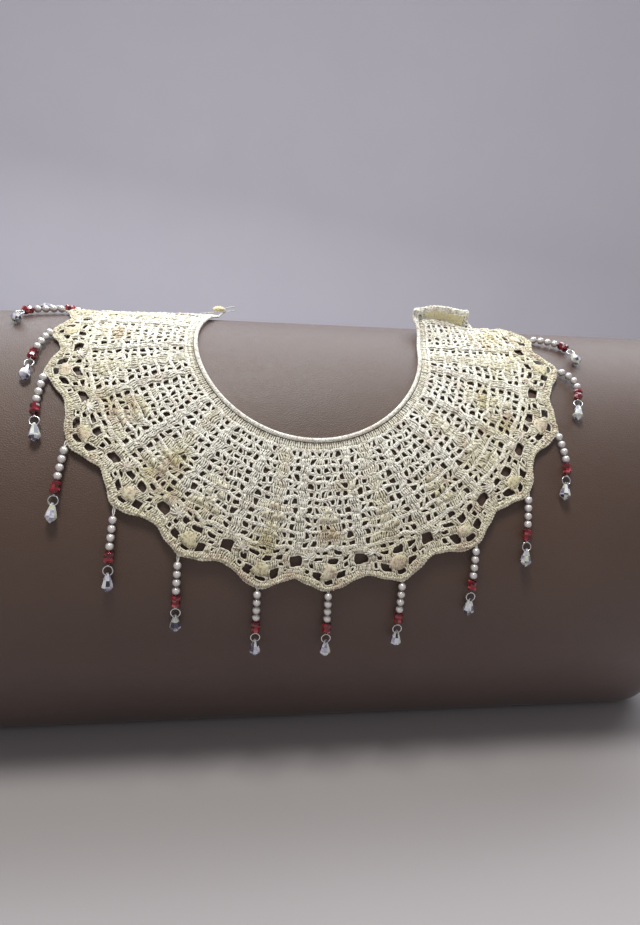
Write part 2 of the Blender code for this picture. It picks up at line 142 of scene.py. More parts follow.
@dataclass
class CushionForm:
    """Side outline of the cushion: lean, depth and height against the rise up its front."""

    bulge_y: float = -0.1180
    bulge_height: float = 0.158
    lean_linear: float = 6.97
    lean_square: float = -27.7
    lean_cube: float = 87.4
    top_bend_start: float = 0.20
    top_bend_limit: float = 11.5
    step: float = 0.001
    length: float = 0.50

    def __post_init__(self) -> None:
        """Work the outline out once, from the foremost line over the top."""
        rise = np.arange(0.0, self.length, self.step)
        bend = self.lean_linear + 2 * self.lean_square * rise + 3 * self.lean_cube * rise ** 2
        bend = np.where(rise > self.top_bend_start, np.minimum(bend, self.top_bend_limit), bend)
        lean = np.concatenate([[0.0], np.cumsum((bend[1:] + bend[:-1]) / 2 * self.step)])
        self.rise = rise
        self.lean = np.minimum(lean, math.pi)
        middle = (self.lean[1:] + self.lean[:-1]) / 2
        self.depth = np.concatenate([[0.0], np.cumsum(np.sin(middle) * self.step)])
        self.height = np.concatenate([[0.0], np.cumsum(np.cos(middle) * self.step)])

    def drape(self, side: Array, rise: Array, lift: Array) -> Array:
        """Points at (side, rise), lift above the cushion; below the bulge they hang plumb.

        Args:
            side: Distances to the right of the middle line.
            rise: Lengths up the cushion's front from its foremost line.
            lift: Distances from the cushion.

        Returns:
            The points, with their three coordinates in the last axis.
        """
        side, rise, lift = np.broadcast_arrays(side, rise, lift)
        lean = np.interp(rise, self.rise, self.lean)
        depth = np.interp(rise, self.rise, self.depth)
        height = np.where(rise < 0.0, rise, np.interp(rise, self.rise, self.height))
        return np.stack([side, self.bulge_y + depth - np.cos(lean) * lift,
                         self.bulge_height + height + np.sin(lean) * lift], axis=-1)

    def outward(self, rise: Array) -> Array:
        """Directions straight out of the cushion at these rises."""
        lean = np.interp(rise, self.rise, self.lean)
        return np.stack([np.zeros_like(lean), -np.cos(lean), np.sin(lean)], axis=-1)


@dataclass
class CollarForm:
    """The flat collar and how it lies on the cushion."""

    cushion: CushionForm
    scallops: int = 15
    scallop_deg: float = 16.0
    left_end_deg: float = -125.2
    neck_radius: float = 0.092
    valley_radius: float = 0.1985
    tip_radius: float = 0.2087
    centre_rise: float = 0.2208
    neck_drift: float = 0.004
    neck_drift_deg: float = -35.0
    roundness: float = 0.6
    cloth_lift: float = 0.0007
    edge_flare: float = 0.0022
    flare_from: float = 0.165
    flare_to: float = 0.208
    flare_fades: Pair = (0.18, 0.25)
    right_curl: Pair = (0.0118, 1.5)
    left_curl: Pair = (0.0015, 1.6)
    curl_inner: float = 0.105
    curl_outer: float = 0.165
    roll_start: float = 14.5
    roll_bend_length: float = 0.009
    roll_lean: float = math.radians(105)
    roll_fades: Pair = (0.147, 0.172)
    end_draw: Pair = (0.011, 2.0)
    slope_step: float = 0.0004
    wander: float = 0.00060
    wander_neck: Pair = (0.003, 0.012)
    wander_edge: float = 0.006
    wander_ends: float = 0.2
    wander_waves: Pair = (31.0, 1000.0)

    def end_roll(self, v: Array, radius: Array) -> tuple[Array, Array]:
        """How far the right end's roll moves points along the ring, in scallops, and up, in metres.

        Args:
            v: Scallop tips counted from the left end.
            radius: Radii on the flat ring.

        Returns:
            Moves along the ring and moves up.
        """
        width = self.width(radius)
        beyond = np.maximum((v - self.roll_start) * width, 0.0)
        lean = np.maximum(self.roll_lean * (1.0 - ease(radius, *self.roll_fades)), 1e-6)
        bend_radius = self.roll_bend_length / lean
        turned = np.minimum(beyond, self.roll_bend_length) / bend_radius
        straight = np.maximum(beyond - self.roll_bend_length, 0.0)
        along = bend_radius * np.sin(turned) + straight * np.cos(turned)
        up = bend_radius * (1.0 - np.cos(turned)) + straight * np.sin(turned)
        return (along - beyond) / width, up

    def flat(self, v: Array, radius: Array) -> tuple[Array, Array]:
        """Flat places as (side, rise) of points that lie v tips from the left end at a drawn radius.

        Args:
            v: Scallop tips counted from the left end.
            radius: Radii on the flat ring.

        Returns:
            Distances to the side and rises.
        """
        v, radius = np.broadcast_arrays(np.asarray(v, float), np.asarray(radius, float))
        v = v + self.end_roll(v, radius)[0]
        share = (radius - self.neck_radius) / (self.tip_radius - self.neck_radius)
        tips = np.arange(self.scallops + 1)
        shift = np.interp(v, tips, [d.tip_deg - self.left_end_deg - self.scallop_deg * k
                                    for k, d in enumerate(DANGLES)])
        reach = np.interp(v, tips, [d.reach - self.tip_radius for d in DANGLES])
        angle = np.radians(self.left_end_deg + self.scallop_deg * v + shift * share)
        drift = self.neck_drift * np.cos(angle - math.radians(self.neck_drift_deg)) * (1.0 - share)
        near_end = smooth(1.0 - (self.scallops - v) / self.end_draw[1])
        drift = drift + self.end_draw[0] * near_end * smooth(1.0 - share)
        length = radius + reach * share + drift
        return length * np.sin(angle), self.centre_rise - length * np.cos(angle)

    def lift(self, v: Array, radius: Array) -> Array:
        """Heights of the cloth's underside over the cushion, with the loose edge and curled ends.

        Args:
            v: Scallop tips counted from the left end.
            radius: Radii on the flat ring.

        Returns:
            Heights over the cushion.
        """
        flare = self.edge_flare * ease(radius, self.flare_from, self.flare_to)
        flare = flare * (1.0 - ease(self.flat(v, radius)[1], *self.flare_fades))
        near_neck = ease(radius, self.curl_outer, self.curl_inner)
        right = self.right_curl[0] * smooth(1.0 - (self.scallops - v) / self.right_curl[1])
        left = self.left_curl[0] * smooth(1.0 - v / self.left_curl[1])
        return self.cloth_lift + flare + (right + left) * near_neck + self.end_roll(v, radius)[1]

    def edge(self, v: Array) -> Array:
        """Drawn radii of the outer edge: round in each valley, drawn to a slight point at each tip.

        Args:
            v: Scallop tips counted from the left end.

        Returns:
            Radii on the flat ring.
        """
        from_tip = np.minimum(2.0 * np.abs(v - np.round(v)), 1.0)
        arch = (1.0 + np.cos(math.pi * from_tip)) / 2
        share = self.roundness * arch + (1.0 - self.roundness) * (1.0 - from_tip)
        return self.valley_radius + (self.tip_radius - self.valley_radius) * share

    def under(self, v: Array, radius: Array) -> Array:
        """Points of the draped collar's underside."""
        side, rise = self.flat(v, radius)
        return self.cushion.drape(side, rise, self.lift(v, radius))

    def outward(self, v: Array, radius: Array) -> Array:
        """Directions straight out of the draped cloth.

        Args:
            v: Scallop tips counted from the left end.
            radius: Radii on the flat ring.

        Returns:
            Directions of length 1.
        """
        step = self.slope_step / self.width(radius)
        along = self.under(v + step, radius) - self.under(v - step, radius)
        down = self.under(v, radius + self.slope_step) - self.under(v, radius - self.slope_step)
        return unit(np.cross(down, along))

    def points(self, v: Array, radius: Array, height: Array) -> Array:
        """Points of the draped collar, height above the cloth's underside and square to it."""
        v, radius, height = np.broadcast_arrays(*(np.asarray(x, float) for x in (v, radius, height)))
        return self.under(v, radius) + self.outward(v, radius) * height[..., None]

    def loosened(self, v: Array, radius: Array) -> tuple[Array, Array]:
        """Places moved a little along the cloth, as hand-worked rows wander.

        Args:
            v: Scallop tips counted from the left end.
            radius: Radii on the flat ring.

        Returns:
            The moved v and radii.
        """
        x, y = v * self.wander_waves[0], radius * self.wander_waves[1]
        clear, over = self.wander_neck
        fade = smooth((radius - self.neck_radius - clear) / over)
        fade = fade * smooth((self.edge(v) - radius) / self.wander_edge)
        fade = fade * smooth(v / self.wander_ends) * smooth((self.scallops - v) / self.wander_ends)
        side = np.sin(y * 0.60 + 1.9 * np.sin(x * 0.17)) + np.sin(x * 0.33 + y * 0.27)
        out = np.sin(x * 0.55 + 1.7 * np.sin(y * 0.21)) + np.sin(x * 0.23 - y * 0.31 + 1.0)
        return v + side * fade * self.wander / self.width(radius), radius + out * fade * self.wander

    def width(self, radius: Array | float) -> Array | float:
        """Length of one scallop's share of the ring at this radius."""
        return radius * math.radians(self.scallop_deg)


class MeshBatch:
    """Collects many small shapes and turns them into one mesh."""

    def __init__(self) -> None:
        """Start with nothing."""
        self.points: list[Array] = []
        self.faces: list[Array] = []
        self.warm: list[Array] = []
        # Painted shade for each point, from 0 to 1.
        self.deep: list[Array] = []
        self.count = 0

    def add(self, points: Array, faces: Sequence[Array], warm: Array | float, deep: float = 0.0) -> None:
        """Add points, faces that index them from 0, and how warm the yarn is there.

        Args:
            points: One row of three coordinates for each point.
            faces: Arrays of faces, each with one row of point numbers for each face.
            warm: One value for each point, or one for all.
            deep: How much painted shade these faces get, as they lie down between the strands, from 0 to 1.
        """
        points = points.reshape(-1, 3)
        self.points.append(points)
        self.faces.extend(np.asarray(f, np.int64) + self.count for f in faces)
        self.warm.append(np.broadcast_to(np.asarray(warm, float).reshape(-1), (len(points),)))
        self.deep.append(np.full(len(points), deep))
        self.count += len(points)

    def tubes(self, paths: Array, up: Array, radii: Array | float, sides: int,
              warm: Array | float = 0.0, closed: bool = False) -> None:
        """Add round tubes along several paths of the same number of points.

        Args:
            paths: Places as (tube, point, 3).
            up: A direction across each path, that broadcasts to the paths.
            radii: Radii that broadcast to (tube, point).
            sides: Number of sides of each tube.
            warm: How warm the yarn is, as values that broadcast to (tube, point).
            closed: Whether each path is a loop.
        """
        count, steps = paths.shape[:2]
        if count == 0:
            return
        if closed:
            along = unit(np.roll(paths, -1, axis=1) - np.roll(paths, 1, axis=1))
        else:
            along = unit(np.gradient(paths, axis=1))
        across = unit(np.cross(along, np.broadcast_to(up, paths.shape)))
        over = np.cross(across, along)
        turn = np.arange(sides) * (2 * math.pi / sides)
        radii = np.broadcast_to(radii, (count, steps))[..., None, None]
        ring = across[:, :, None] * np.cos(turn)[:, None] + over[:, :, None] * np.sin(turn)[:, None]
        points = paths[:, :, None] + radii * ring
        index = np.arange(count * steps * sides).reshape(count, steps, sides)
        if closed:
            faces = [quads(index, np.roll(index, -1, axis=1))]
        else:
            faces = [quads(index[:, :-1], index[:, 1:]), index[:, 0], index[:, -1, ::-1]]
        self.add(points, faces, np.repeat(np.broadcast_to(warm, (count, steps)).reshape(-1), sides))

    def build(self, name: str, material: bpy.types.Material,
              smooth_faces: bool = True) -> bpy.types.Object:
        """Make the object.

        Args:
            name: The piece's name.
            material: Its finish.
            smooth_faces: Whether its faces are shaded smooth.

        Returns:
            The new object, linked to the scene and not yet on a body.
        """
        points = np.concatenate(self.points)
        sizes = np.concatenate([np.full(len(f), f.shape[1]) for f in self.faces])
        corners = np.concatenate([f.reshape(-1) for f in self.faces])
        mesh = bpy.data.meshes.new(name)
        mesh.vertices.add(len(points))
        mesh.loops.add(len(corners))
        mesh.polygons.add(len(sizes))
        mesh.vertices.foreach_set("co", points.astype(np.float32).reshape(-1))
        mesh.loops.foreach_set("vertex_index", corners.astype(np.int32))
        starts = np.concatenate([[0], np.cumsum(sizes)[:-1]])
        mesh.polygons.foreach_set("loop_start", starts.astype(np.int32))
        mesh.polygons.foreach_set("use_smooth", np.full(len(sizes), smooth_faces))
        for label, values in (("warm", self.warm), ("deep", self.deep)):
            carried = mesh.attributes.new(label, "FLOAT", "POINT")
            carried.data.foreach_set("value", np.concatenate(values).astype(np.float32))
        mesh.update(calc_edges=True)
        mesh.validate()
        mesh.materials.append(material)
        made = bpy.data.objects.new(name, mesh)
        bpy.context.scene.collection.objects.link(made)
        return made


class Socket:
    """A value inside a material, with Python's operators in place of Math nodes."""

    def __init__(self, graph: "Graph", socket: bpy.types.NodeSocket) -> None:
        """Wrap a node's output."""
        self.graph = graph
        self.socket = socket

    def _math(self, operation: str, first: Any, second: Any) -> "Socket":
        """One Math node on two values."""
        return self.graph.node("ShaderNodeMath", {"operation": operation}, {0: first, 1: second})

    def __add__(self, other: Any) -> "Socket":
        """Sum."""
        return self._math("ADD", self, other)

    def __radd__(self, other: Any) -> "Socket":
        """Sum, from the right."""
        return self._math("ADD", other, self)

    def __sub__(self, other: Any) -> "Socket":
        """Difference."""
        return self._math("SUBTRACT", self, other)

    def __rsub__(self, other: Any) -> "Socket":
        """Difference, from the right."""
        return self._math("SUBTRACT", other, self)

    def __mul__(self, other: Any) -> "Socket":
        """Product."""
        return self._math("MULTIPLY", self, other)

    def __rmul__(self, other: Any) -> "Socket":
        """Product, from the right."""
        return self._math("MULTIPLY", other, self)

    def clamp(self, low: float = 0.0, high: float = 1.0) -> "Socket":
        """The value kept between two bounds."""
        return self._math("MINIMUM", self._math("MAXIMUM", self, low), high)


class Graph:
    """The node tree of one material."""

    def __init__(self, name: str) -> None:
        """Make a material with a Principled shader and nothing else on its output.

        Args:
            name: Its name.
        """
        self.material = bpy.data.materials.new(name)
        self.material.use_nodes = True
        self.tree = self.material.node_tree
        self.shader = self.tree.nodes["Principled BSDF"]

    def node(self, kind: str, settings: dict[str, Any], inputs: dict[Any, Any],
             output: Any = 0) -> Socket:
        """Add a node.

        Args:
            kind: The node's type.
            settings: Its properties, set first. A ramp's stops are a list of (place, colour).
            inputs: Values or links of its sockets, by name or number.
            output: The output to return, by name or number.

        Returns:
            That output.
        """
        made = self.tree.nodes.new(kind)
        for name, value in settings.items():
            if name == "stops":
                ramp = made.color_ramp
                while len(ramp.elements) < len(value):
                    ramp.elements.new(0.5)
                for element, (place, colour) in zip(ramp.elements, value):
                    element.position = place
                    element.color = (*colour, 1.0)
            else:
                setattr(made, name, value)
        for name, value in inputs.items():
            self.put(made.inputs[name], value)
        return Socket(self, made.outputs[output])

    def put(self, target: bpy.types.NodeSocket, value: Any) -> None:
        """Link a socket, or set its value.

        Args:
            target: The socket.
            value: A link or a value.
        """
        if isinstance(value, Socket):
            self.tree.links.new(value.socket, target)
        elif isinstance(value, tuple) and len(value) == 3 and len(target.default_value) == 4:
            target.default_value = (*value, 1.0)
        else:
            target.default_value = value

    def set(self, **values: Any) -> None:
        """Set or link the shader's own sockets, named with underscores for spaces."""
        for name, value in values.items():
            self.put(self.shader.inputs[name.replace("_", " ")], value)

    def place(self) -> Socket:
        """The point's place on the object, in metres."""
        return self.node("ShaderNodeTexCoord", {}, {}, "Object")

    def noise(self, scale: float, detail: float, stretch: Point | None = None) -> Socket:
        """Noise from 0 to 1 with scale waves a metre, stretched along the axes if asked for.

        Args:
            scale: Waves a metre.
            detail: Finer waves within them.
            stretch: Stretch along the axes, or None.

        Returns:
            The noise.
        """
        place = self.place()
        if stretch is not None:
            place = self.node("ShaderNodeVectorMath", {"operation": "MULTIPLY"}, {0: place, 1: stretch})
        return self.node("ShaderNodeTexNoise", {}, {"Vector": place, "Scale": scale, "Detail": detail}, "Fac")

    def cells(self, scale: float) -> Socket:
        """Distance from the edges of Voronoi cells, with scale cells a metre."""
        return self.node("ShaderNodeTexVoronoi", {"feature": "DISTANCE_TO_EDGE"},
                         {"Vector": self.place(), "Scale": scale}, "Distance")

    def attribute(self, name: str) -> Socket:
        """A value that the mesh carries at its points."""
        return self.node("ShaderNodeAttribute", {"attribute_name": name}, {}, "Fac")

    def mix(self, factor: Any, first: Any, second: Any, blend: str = "MIX") -> Socket:
        """Mix of two colours."""
        return self.node("ShaderNodeMix", {"data_type": "RGBA", "blend_type": blend},
                         {0: factor, 6: first, 7: second}, 2)

    def ramp(self, value: Any, stops: Sequence[tuple[float, Point]]) -> Socket:
        """Colour ramp over a value."""
        return self.node("ShaderNodeValToRGB", {"stops": stops}, {"Fac": value}, "Color")

    def bump(self, height: Socket, distance: float) -> None:
        """Give the shader a bump of this height in metres."""
        inputs = {"Height": height, "Distance": distance, "Strength": 1.0}
        self.set(Normal=self.node("ShaderNodeBump", {}, inputs))


@dataclass(frozen=True)
class CottonFinish:
    """Matt mercerised cotton: white to warm cream and tan, with painted shade down between its strands, on
    its ground and in a fine mottle.
    """

    name: str
    white: Colour = (0.99, 0.97, 0.88)
    cream: Colour = (0.90, 0.86, 0.69)
    yellow: Colour = (0.66, 0.58, 0.33)
    pink: Colour = (0.68, 0.53, 0.42)
    # Painted shade: the crevice colour and its limit darken the cotton in a fine noise mottle, standing in
    # for shade between the strands.
    painted_crevice_shade: Colour = (0.38, 0.34, 0.26)
    # Painted shade: the lace ground is darkened towards this colour by the painted shade value that its mesh
    # carries.
    ground: Colour = (0.15, 0.125, 0.10)
    painted_shade_limit: float = 0.62
    patch_scale: float = 38.0
    blush_scale: float = 60.0
    blush_limit: float = 0.55
    shade_scale: float = 520.0
    ply_scale: float = 950.0
    fuzz_scale: float = 2600.0
    cream_at: float = 0.40
    bump: float = 0.00020
    roughness: float = 0.86
    sheen: float = 0.10

    def material(self) -> bpy.types.Material:
        """Build the material.

        Returns:
            The material.
        """
        g = Graph(self.name)
        warm = g.attribute("warm")
        patches = g.noise(self.patch_scale, 3.0)
        fibres = g.noise(self.ply_scale, 4.0)
        tone = (warm + (patches - 0.5) * 0.5 + (fibres - 0.5) * 0.2).clamp()
        cotton = g.ramp(tone, ((0.0, self.white), (self.cream_at, self.cream), (1.0, self.yellow)))
        blush = (g.noise(self.blush_scale, 2.0) - 0.50) * 5.0 * (warm - 0.15) * 2.5
        cotton = g.mix(blush.clamp(0.0, self.blush_limit), cotton, self.pink)
        # Painted crevice shade: a fine noise darkens the cotton, standing in for shade down between the
        # strands.
        shade = ((g.noise(self.shade_scale, 3.0) - 0.47) * 4.0).clamp(0.0, self.painted_shade_limit)
        cotton = g.mix(shade, cotton, self.painted_crevice_shade, "MULTIPLY")
        # Painted shade: the ground darkens by the value its mesh carries, standing in for shade between the
        # strands.
        cotton = g.mix(g.attribute("deep"), cotton, self.ground, "MULTIPLY")
        g.set(Base_Color=cotton, Roughness=self.roughness, Sheen_Weight=self.sheen, Sheen_Roughness=0.5,
              Specular_IOR_Level=0.3)
        g.bump(fibres + g.noise(self.fuzz_scale, 2.0) * 0.4, self.bump)
        return g.material


# The limit given to each finish below caps its painted crevice shade.
PALE_YELLOW = CottonFinish("cotton_button", (0.96, 0.95, 0.74), (0.95, 0.90, 0.66), (0.94, 0.86, 0.54),
                           (0.92, 0.84, 0.56), painted_shade_limit=0.1)
EDGING = CottonFinish("cotton_edging", (0.93, 0.90, 0.79), (0.84, 0.79, 0.62), painted_shade_limit=0.75)
BAND = CottonFinish("cotton_band", white=(0.94, 0.92, 0.84))
THREAD = CottonFinish("thread", white=(0.88, 0.87, 0.84))


@dataclass(frozen=True)
class LeatherFinish:
    """Smooth upholstery leather with a fine pebble grain."""

    name: str = "cushion_leather"
    light: Colour = (0.100, 0.051, 0.030)
    dark: Colour = (0.072, 0.035, 0.020)
    sheen_tint: Colour = (0.86, 0.89, 1.0)
    cloud_scale: float = 9.0
    fine_scale: float = 160.0
    grain_scale: float = 620.0
    pore_scale: float = 1500.0
    wrinkle_scale: float = 42.0
    wrinkle_stretch: Point = (1.0, 0.45, 1.0)
    bump: float = 0.00104

    def material(self) -> bpy.types.Material:
        """Build the material.

        Returns:
            The material.
        """
        g = Graph(self.name)
        clouds = g.noise(self.cloud_scale, 4.0)
        fine = g.noise(self.fine_scale, 4.0)
        tone = ((clouds - 0.3) * 1.4 + (fine - 0.5) * 0.5).clamp()
        g.set(Base_Color=g.mix(tone, self.dark, self.light))
        g.set(Roughness=((fine - 0.5) * 0.16 + (clouds - 0.5) * 0.12 + 0.56).clamp(0.4, 0.8))
        pebbles = (g.cells(self.grain_scale) * 3.0).clamp() + g.noise(self.pore_scale, 3.0) * 0.5
        wrinkles = g.noise(self.wrinkle_scale, 5.0, self.wrinkle_stretch)
        g.set(IOR=1.6, Coat_Weight=0.2, Coat_Roughness=0.5, Sheen_Weight=0.20, Sheen_Roughness=0.45,
              Sheen_Tint=self.sheen_tint)
        g.bump(pebbles * 0.10 + wrinkles * 0.35, self.bump)
        return g.material


@dataclass(frozen=True)
class PearlFinish:
    """Pearl coating: soft gloss with a faint pink and green tint, and painted shade towards its rims."""

    name: str = "pearl_bead"
    body: Colour = (0.80, 0.75, 0.72)
    # Painted shade: the rim colour darkens each pearl towards its outline.
    rim: Colour = (0.22, 0.17, 0.18)
    cloud: Colour = (0.72, 0.72, 0.65)
    roughness: float = 0.25
    bleed: Point = (0.002, 0.0015, 0.001)
    bump: float = 0.00004

    def material(self) -> bpy.types.Material:
        """Build the material.

        Returns:
            The material.
        """
        g = Graph(self.name)
        # Painted shade: the colour goes from the body colour to the rim colour towards the outline that the
        # camera sees.
        facing = g.node("ShaderNodeLayerWeight", {}, {"Blend": 0.55}, "Facing")
        body_and_painted_rim_shade = g.mix(facing, self.body, self.rim)
        clouds = ((g.noise(260.0, 2.0) - 0.4) * 1.5).clamp(0.0, 0.6)
        g.set(Base_Color=g.mix(clouds, body_and_painted_rim_shade, self.cloud), Roughness=self.roughness, Metallic=0.35)
        g.set(Coat_Weight=1.0, Coat_Roughness=0.10, Subsurface_Weight=0.15, Subsurface_Radius=self.bleed)
        g.bump(g.noise(700.0, 2.0), self.bump)
        return g.material


@dataclass(frozen=True)
class GlassFinish:
    """Cut glass, each facet painted with its own share of the stone's flashes, as painted reflections."""

    name: str
    stops: tuple[tuple[float, Colour], ...]
    transmission: float = 0.25
    roughness: float = 0.04

    def material(self) -> bpy.types.Material:
        """Build the material.

        Returns:
            The material.
        """
        g = Graph(self.name)
        # Painted reflections: each facet's own value picks a dark or bright colour from the ramp, as glints
        # and flashes.
        painted_flash = (g.attribute("warm") + (g.noise(300.0, 1.0) - 0.5) * 0.3).clamp()
        g.set(Base_Color=g.ramp(painted_flash, self.stops), Roughness=self.roughness, IOR=1.55,
              Transmission_Weight=self.transmission, Coat_Weight=0.5, Coat_Roughness=0.02)
        return g.material


# Ramps of the cut beads' facets: the red runs from its own dark red up to painted glints; the crystal's dark
# and white facets are painted reflections between its violet and green tints.
RED_GLASS_PAINTED_GLINTS = ((0.0, (0.04, 0.001, 0.004)), (0.45, (0.18, 0.003, 0.010)), (0.8, (0.38, 0.010, 0.02)),
             (1.0, (0.78, 0.16, 0.17)))
CRYSTAL_PAINTED_FLASHES = ((0.0, (0.02, 0.02, 0.03)), (0.25, (0.13, 0.12, 0.19)), (0.42, (0.92, 0.93, 0.97)),
           (0.60, (0.34, 0.31, 0.50)), (0.76, (1.0, 1.0, 1.0)), (1.0, (0.62, 0.66, 0.40)))


@dataclass(frozen=True)
class WireFinish:
    """Bright plated wire."""

    name: str = "silver_wire"
    colour: Colour = (0.80, 0.80, 0.79)
    worn_colour: Colour = (0.70, 0.69, 0.66)

    def material(self) -> bpy.types.Material:
        """Build the material.

        Returns:
            The material.
        """
        g = Graph(self.name)
        worn = g.noise(900.0, 2.0)
        g.set(Base_Color=g.mix(worn, self.colour, self.worn_colour), Metallic=1.0,
              Roughness=(worn * 0.2 + 0.1).clamp())
        return g.material


@dataclass(frozen=True)
class PlainFinish:
    """A flat pale colour with a trace of mottling, for the floor and the wall."""

    name: str
    colour: Colour
    roughness: float = 0.9

    def material(self) -> bpy.types.Material:
        """Build the material.

        Returns:
            The material.
        """
        g = Graph(self.name)
        paler = tuple(min(1.0, c * 1.06) for c in self.colour)
        g.set(Base_Color=g.mix(g.noise(4.0, 2.0), self.colour, paler), Roughness=self.roughness)
        return g.material


def seat(piece: bpy.types.Object, slot: str, *nodes: str) -> bpy.types.Object:
    """Put a finished piece on the part's body, and hide the nodes it stands for.

    Args:
        piece: The finished piece.
        slot: Its material slot. Not used.
        nodes: The nodes it stands for.

    Returns:
        The same piece.
    """
    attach(piece, ROOT)
    if nodes:
        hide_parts(*nodes)
    triangles = sum(len(p.vertices) - 2 for p in piece.data.polygons)
    LOG.info("%s: %d triangles", piece.name, triangles)
    return piece


@dataclass
class BackCushion:
    """The leather back cushion, skinned from end to end with round ends and a flat underside."""

    form: CushionForm
    width: float = 0.74
    end_round: float = 0.050
    end_steps: int = 14
    bulge_steps: int = 12
    corner_steps: int = 8
    corner_radius: float = 0.022
    lower_lean: float = math.radians(30)
    steps_over: int = 150
    steps_across: int = 120
    fill: float = 0.8

    def arc(self, centre: Pair, radius: float, start: float, end: float, steps: int) -> list[Array]:
        """Points of a round stretch of the outline, as (depth, height) with height over the bulge."""
        return [np.array([centre[0] - radius * math.cos(a), centre[1] + radius * math.sin(a)])
                for a in np.linspace(start, end, steps + 1)]

    def loop(self) -> Array:
        """The closed outline in side view, from below the bulge round under, up and over.

        Returns:
            Rows of (depth, height), with height over the bulge.
        """
        front_radius = 1.0 / self.form.lean_linear
        found = self.arc((front_radius, 0.0), front_radius, 0.0, -self.lower_lean, self.bulge_steps)[1:]
        last_depth, last_height = found[-1]
        corner_height = self.corner_radius - self.form.bulge_height
        drop = last_height - corner_height + self.corner_radius * math.sin(self.lower_lean)
        run = drop / math.cos(self.lower_lean)
        corner_depth = (last_depth + run * math.sin(self.lower_lean)
                        + self.corner_radius * math.cos(self.lower_lean))
        back_depth = float(self.form.depth[-1]) - self.corner_radius
        for depth, start, end in ((corner_depth, -self.lower_lean, -math.pi / 2),
                                  (back_depth, math.pi * 1.5, math.pi)):
            found += self.arc((depth, corner_height), self.corner_radius, start, end, self.corner_steps)
        top_rise = float(self.form.rise[np.argmax(self.form.lean >= math.pi)])
        rises = top_rise * (1.0 - np.arange(self.steps_over + 1) / self.steps_over)
        found += [np.array([np.interp(r, self.form.rise, self.form.depth),
                            np.interp(r, self.form.rise, self.form.height)]) for r in rises]
        return np.array(found)

    def build(self) -> bpy.types.Object:
        """Returns:
            The cushion's object.
        """
        loop = self.loop()
        middle = np.array([float(self.form.depth[-1]) / 2,
                           (loop[:, 1].max() - self.form.bulge_height) / 2])
        straight = self.width / 2 - self.end_round
        turned = np.linspace(0.0, math.pi / 2, self.end_steps + 1)
        end_x = straight + self.end_round * np.sin(turned)
        end_share = 1.0 - self.end_round * (1.0 - np.cos(turned)) / middle[0]
        inner = np.linspace(-straight, straight, self.steps_across + 1)[1:-1]
        xs = np.concatenate([-end_x[::-1], inner, end_x])
        shares = np.concatenate([end_share[::-1], np.ones(len(inner)), end_share])
        section = middle + (loop - middle)[None] * shares[:, None, None]
        points = np.stack([np.broadcast_to(xs[:, None], section.shape[:2]),
                           self.form.bulge_y + section[..., 0],
                           self.form.bulge_height + section[..., 1]], axis=-1)
        rings, sides = points.shape[:2]
        index = np.arange(rings * sides).reshape(rings, sides)
        after = np.roll(index, -1, axis=1)
        skin = np.stack([index[:-1], after[:-1], after[1:], index[1:]], axis=-1).reshape(-1, 4)
        batch = MeshBatch()
        batch.add(points, [skin, index[:1, ::-1], index[-1:]], 0.0)
        piece = batch.build("leather_cushion", LeatherFinish().material())
        seat(piece, "cushion_leather", "back_cushion")
        return piece


@dataclass(frozen=True)
class Cell:
    """One cell of the lace, between two upright lines and two rounds.

    low and high are the v of its sides at its inner and outer round, and t its two rounds. gap is the share
    of the cell that its opening takes, or None where it is worked solid.
    """

    low: Pair
    high: Pair
    t: Pair
    gap: Pair | None = None
    raised: float = 0.0
    warm: float = 0.0


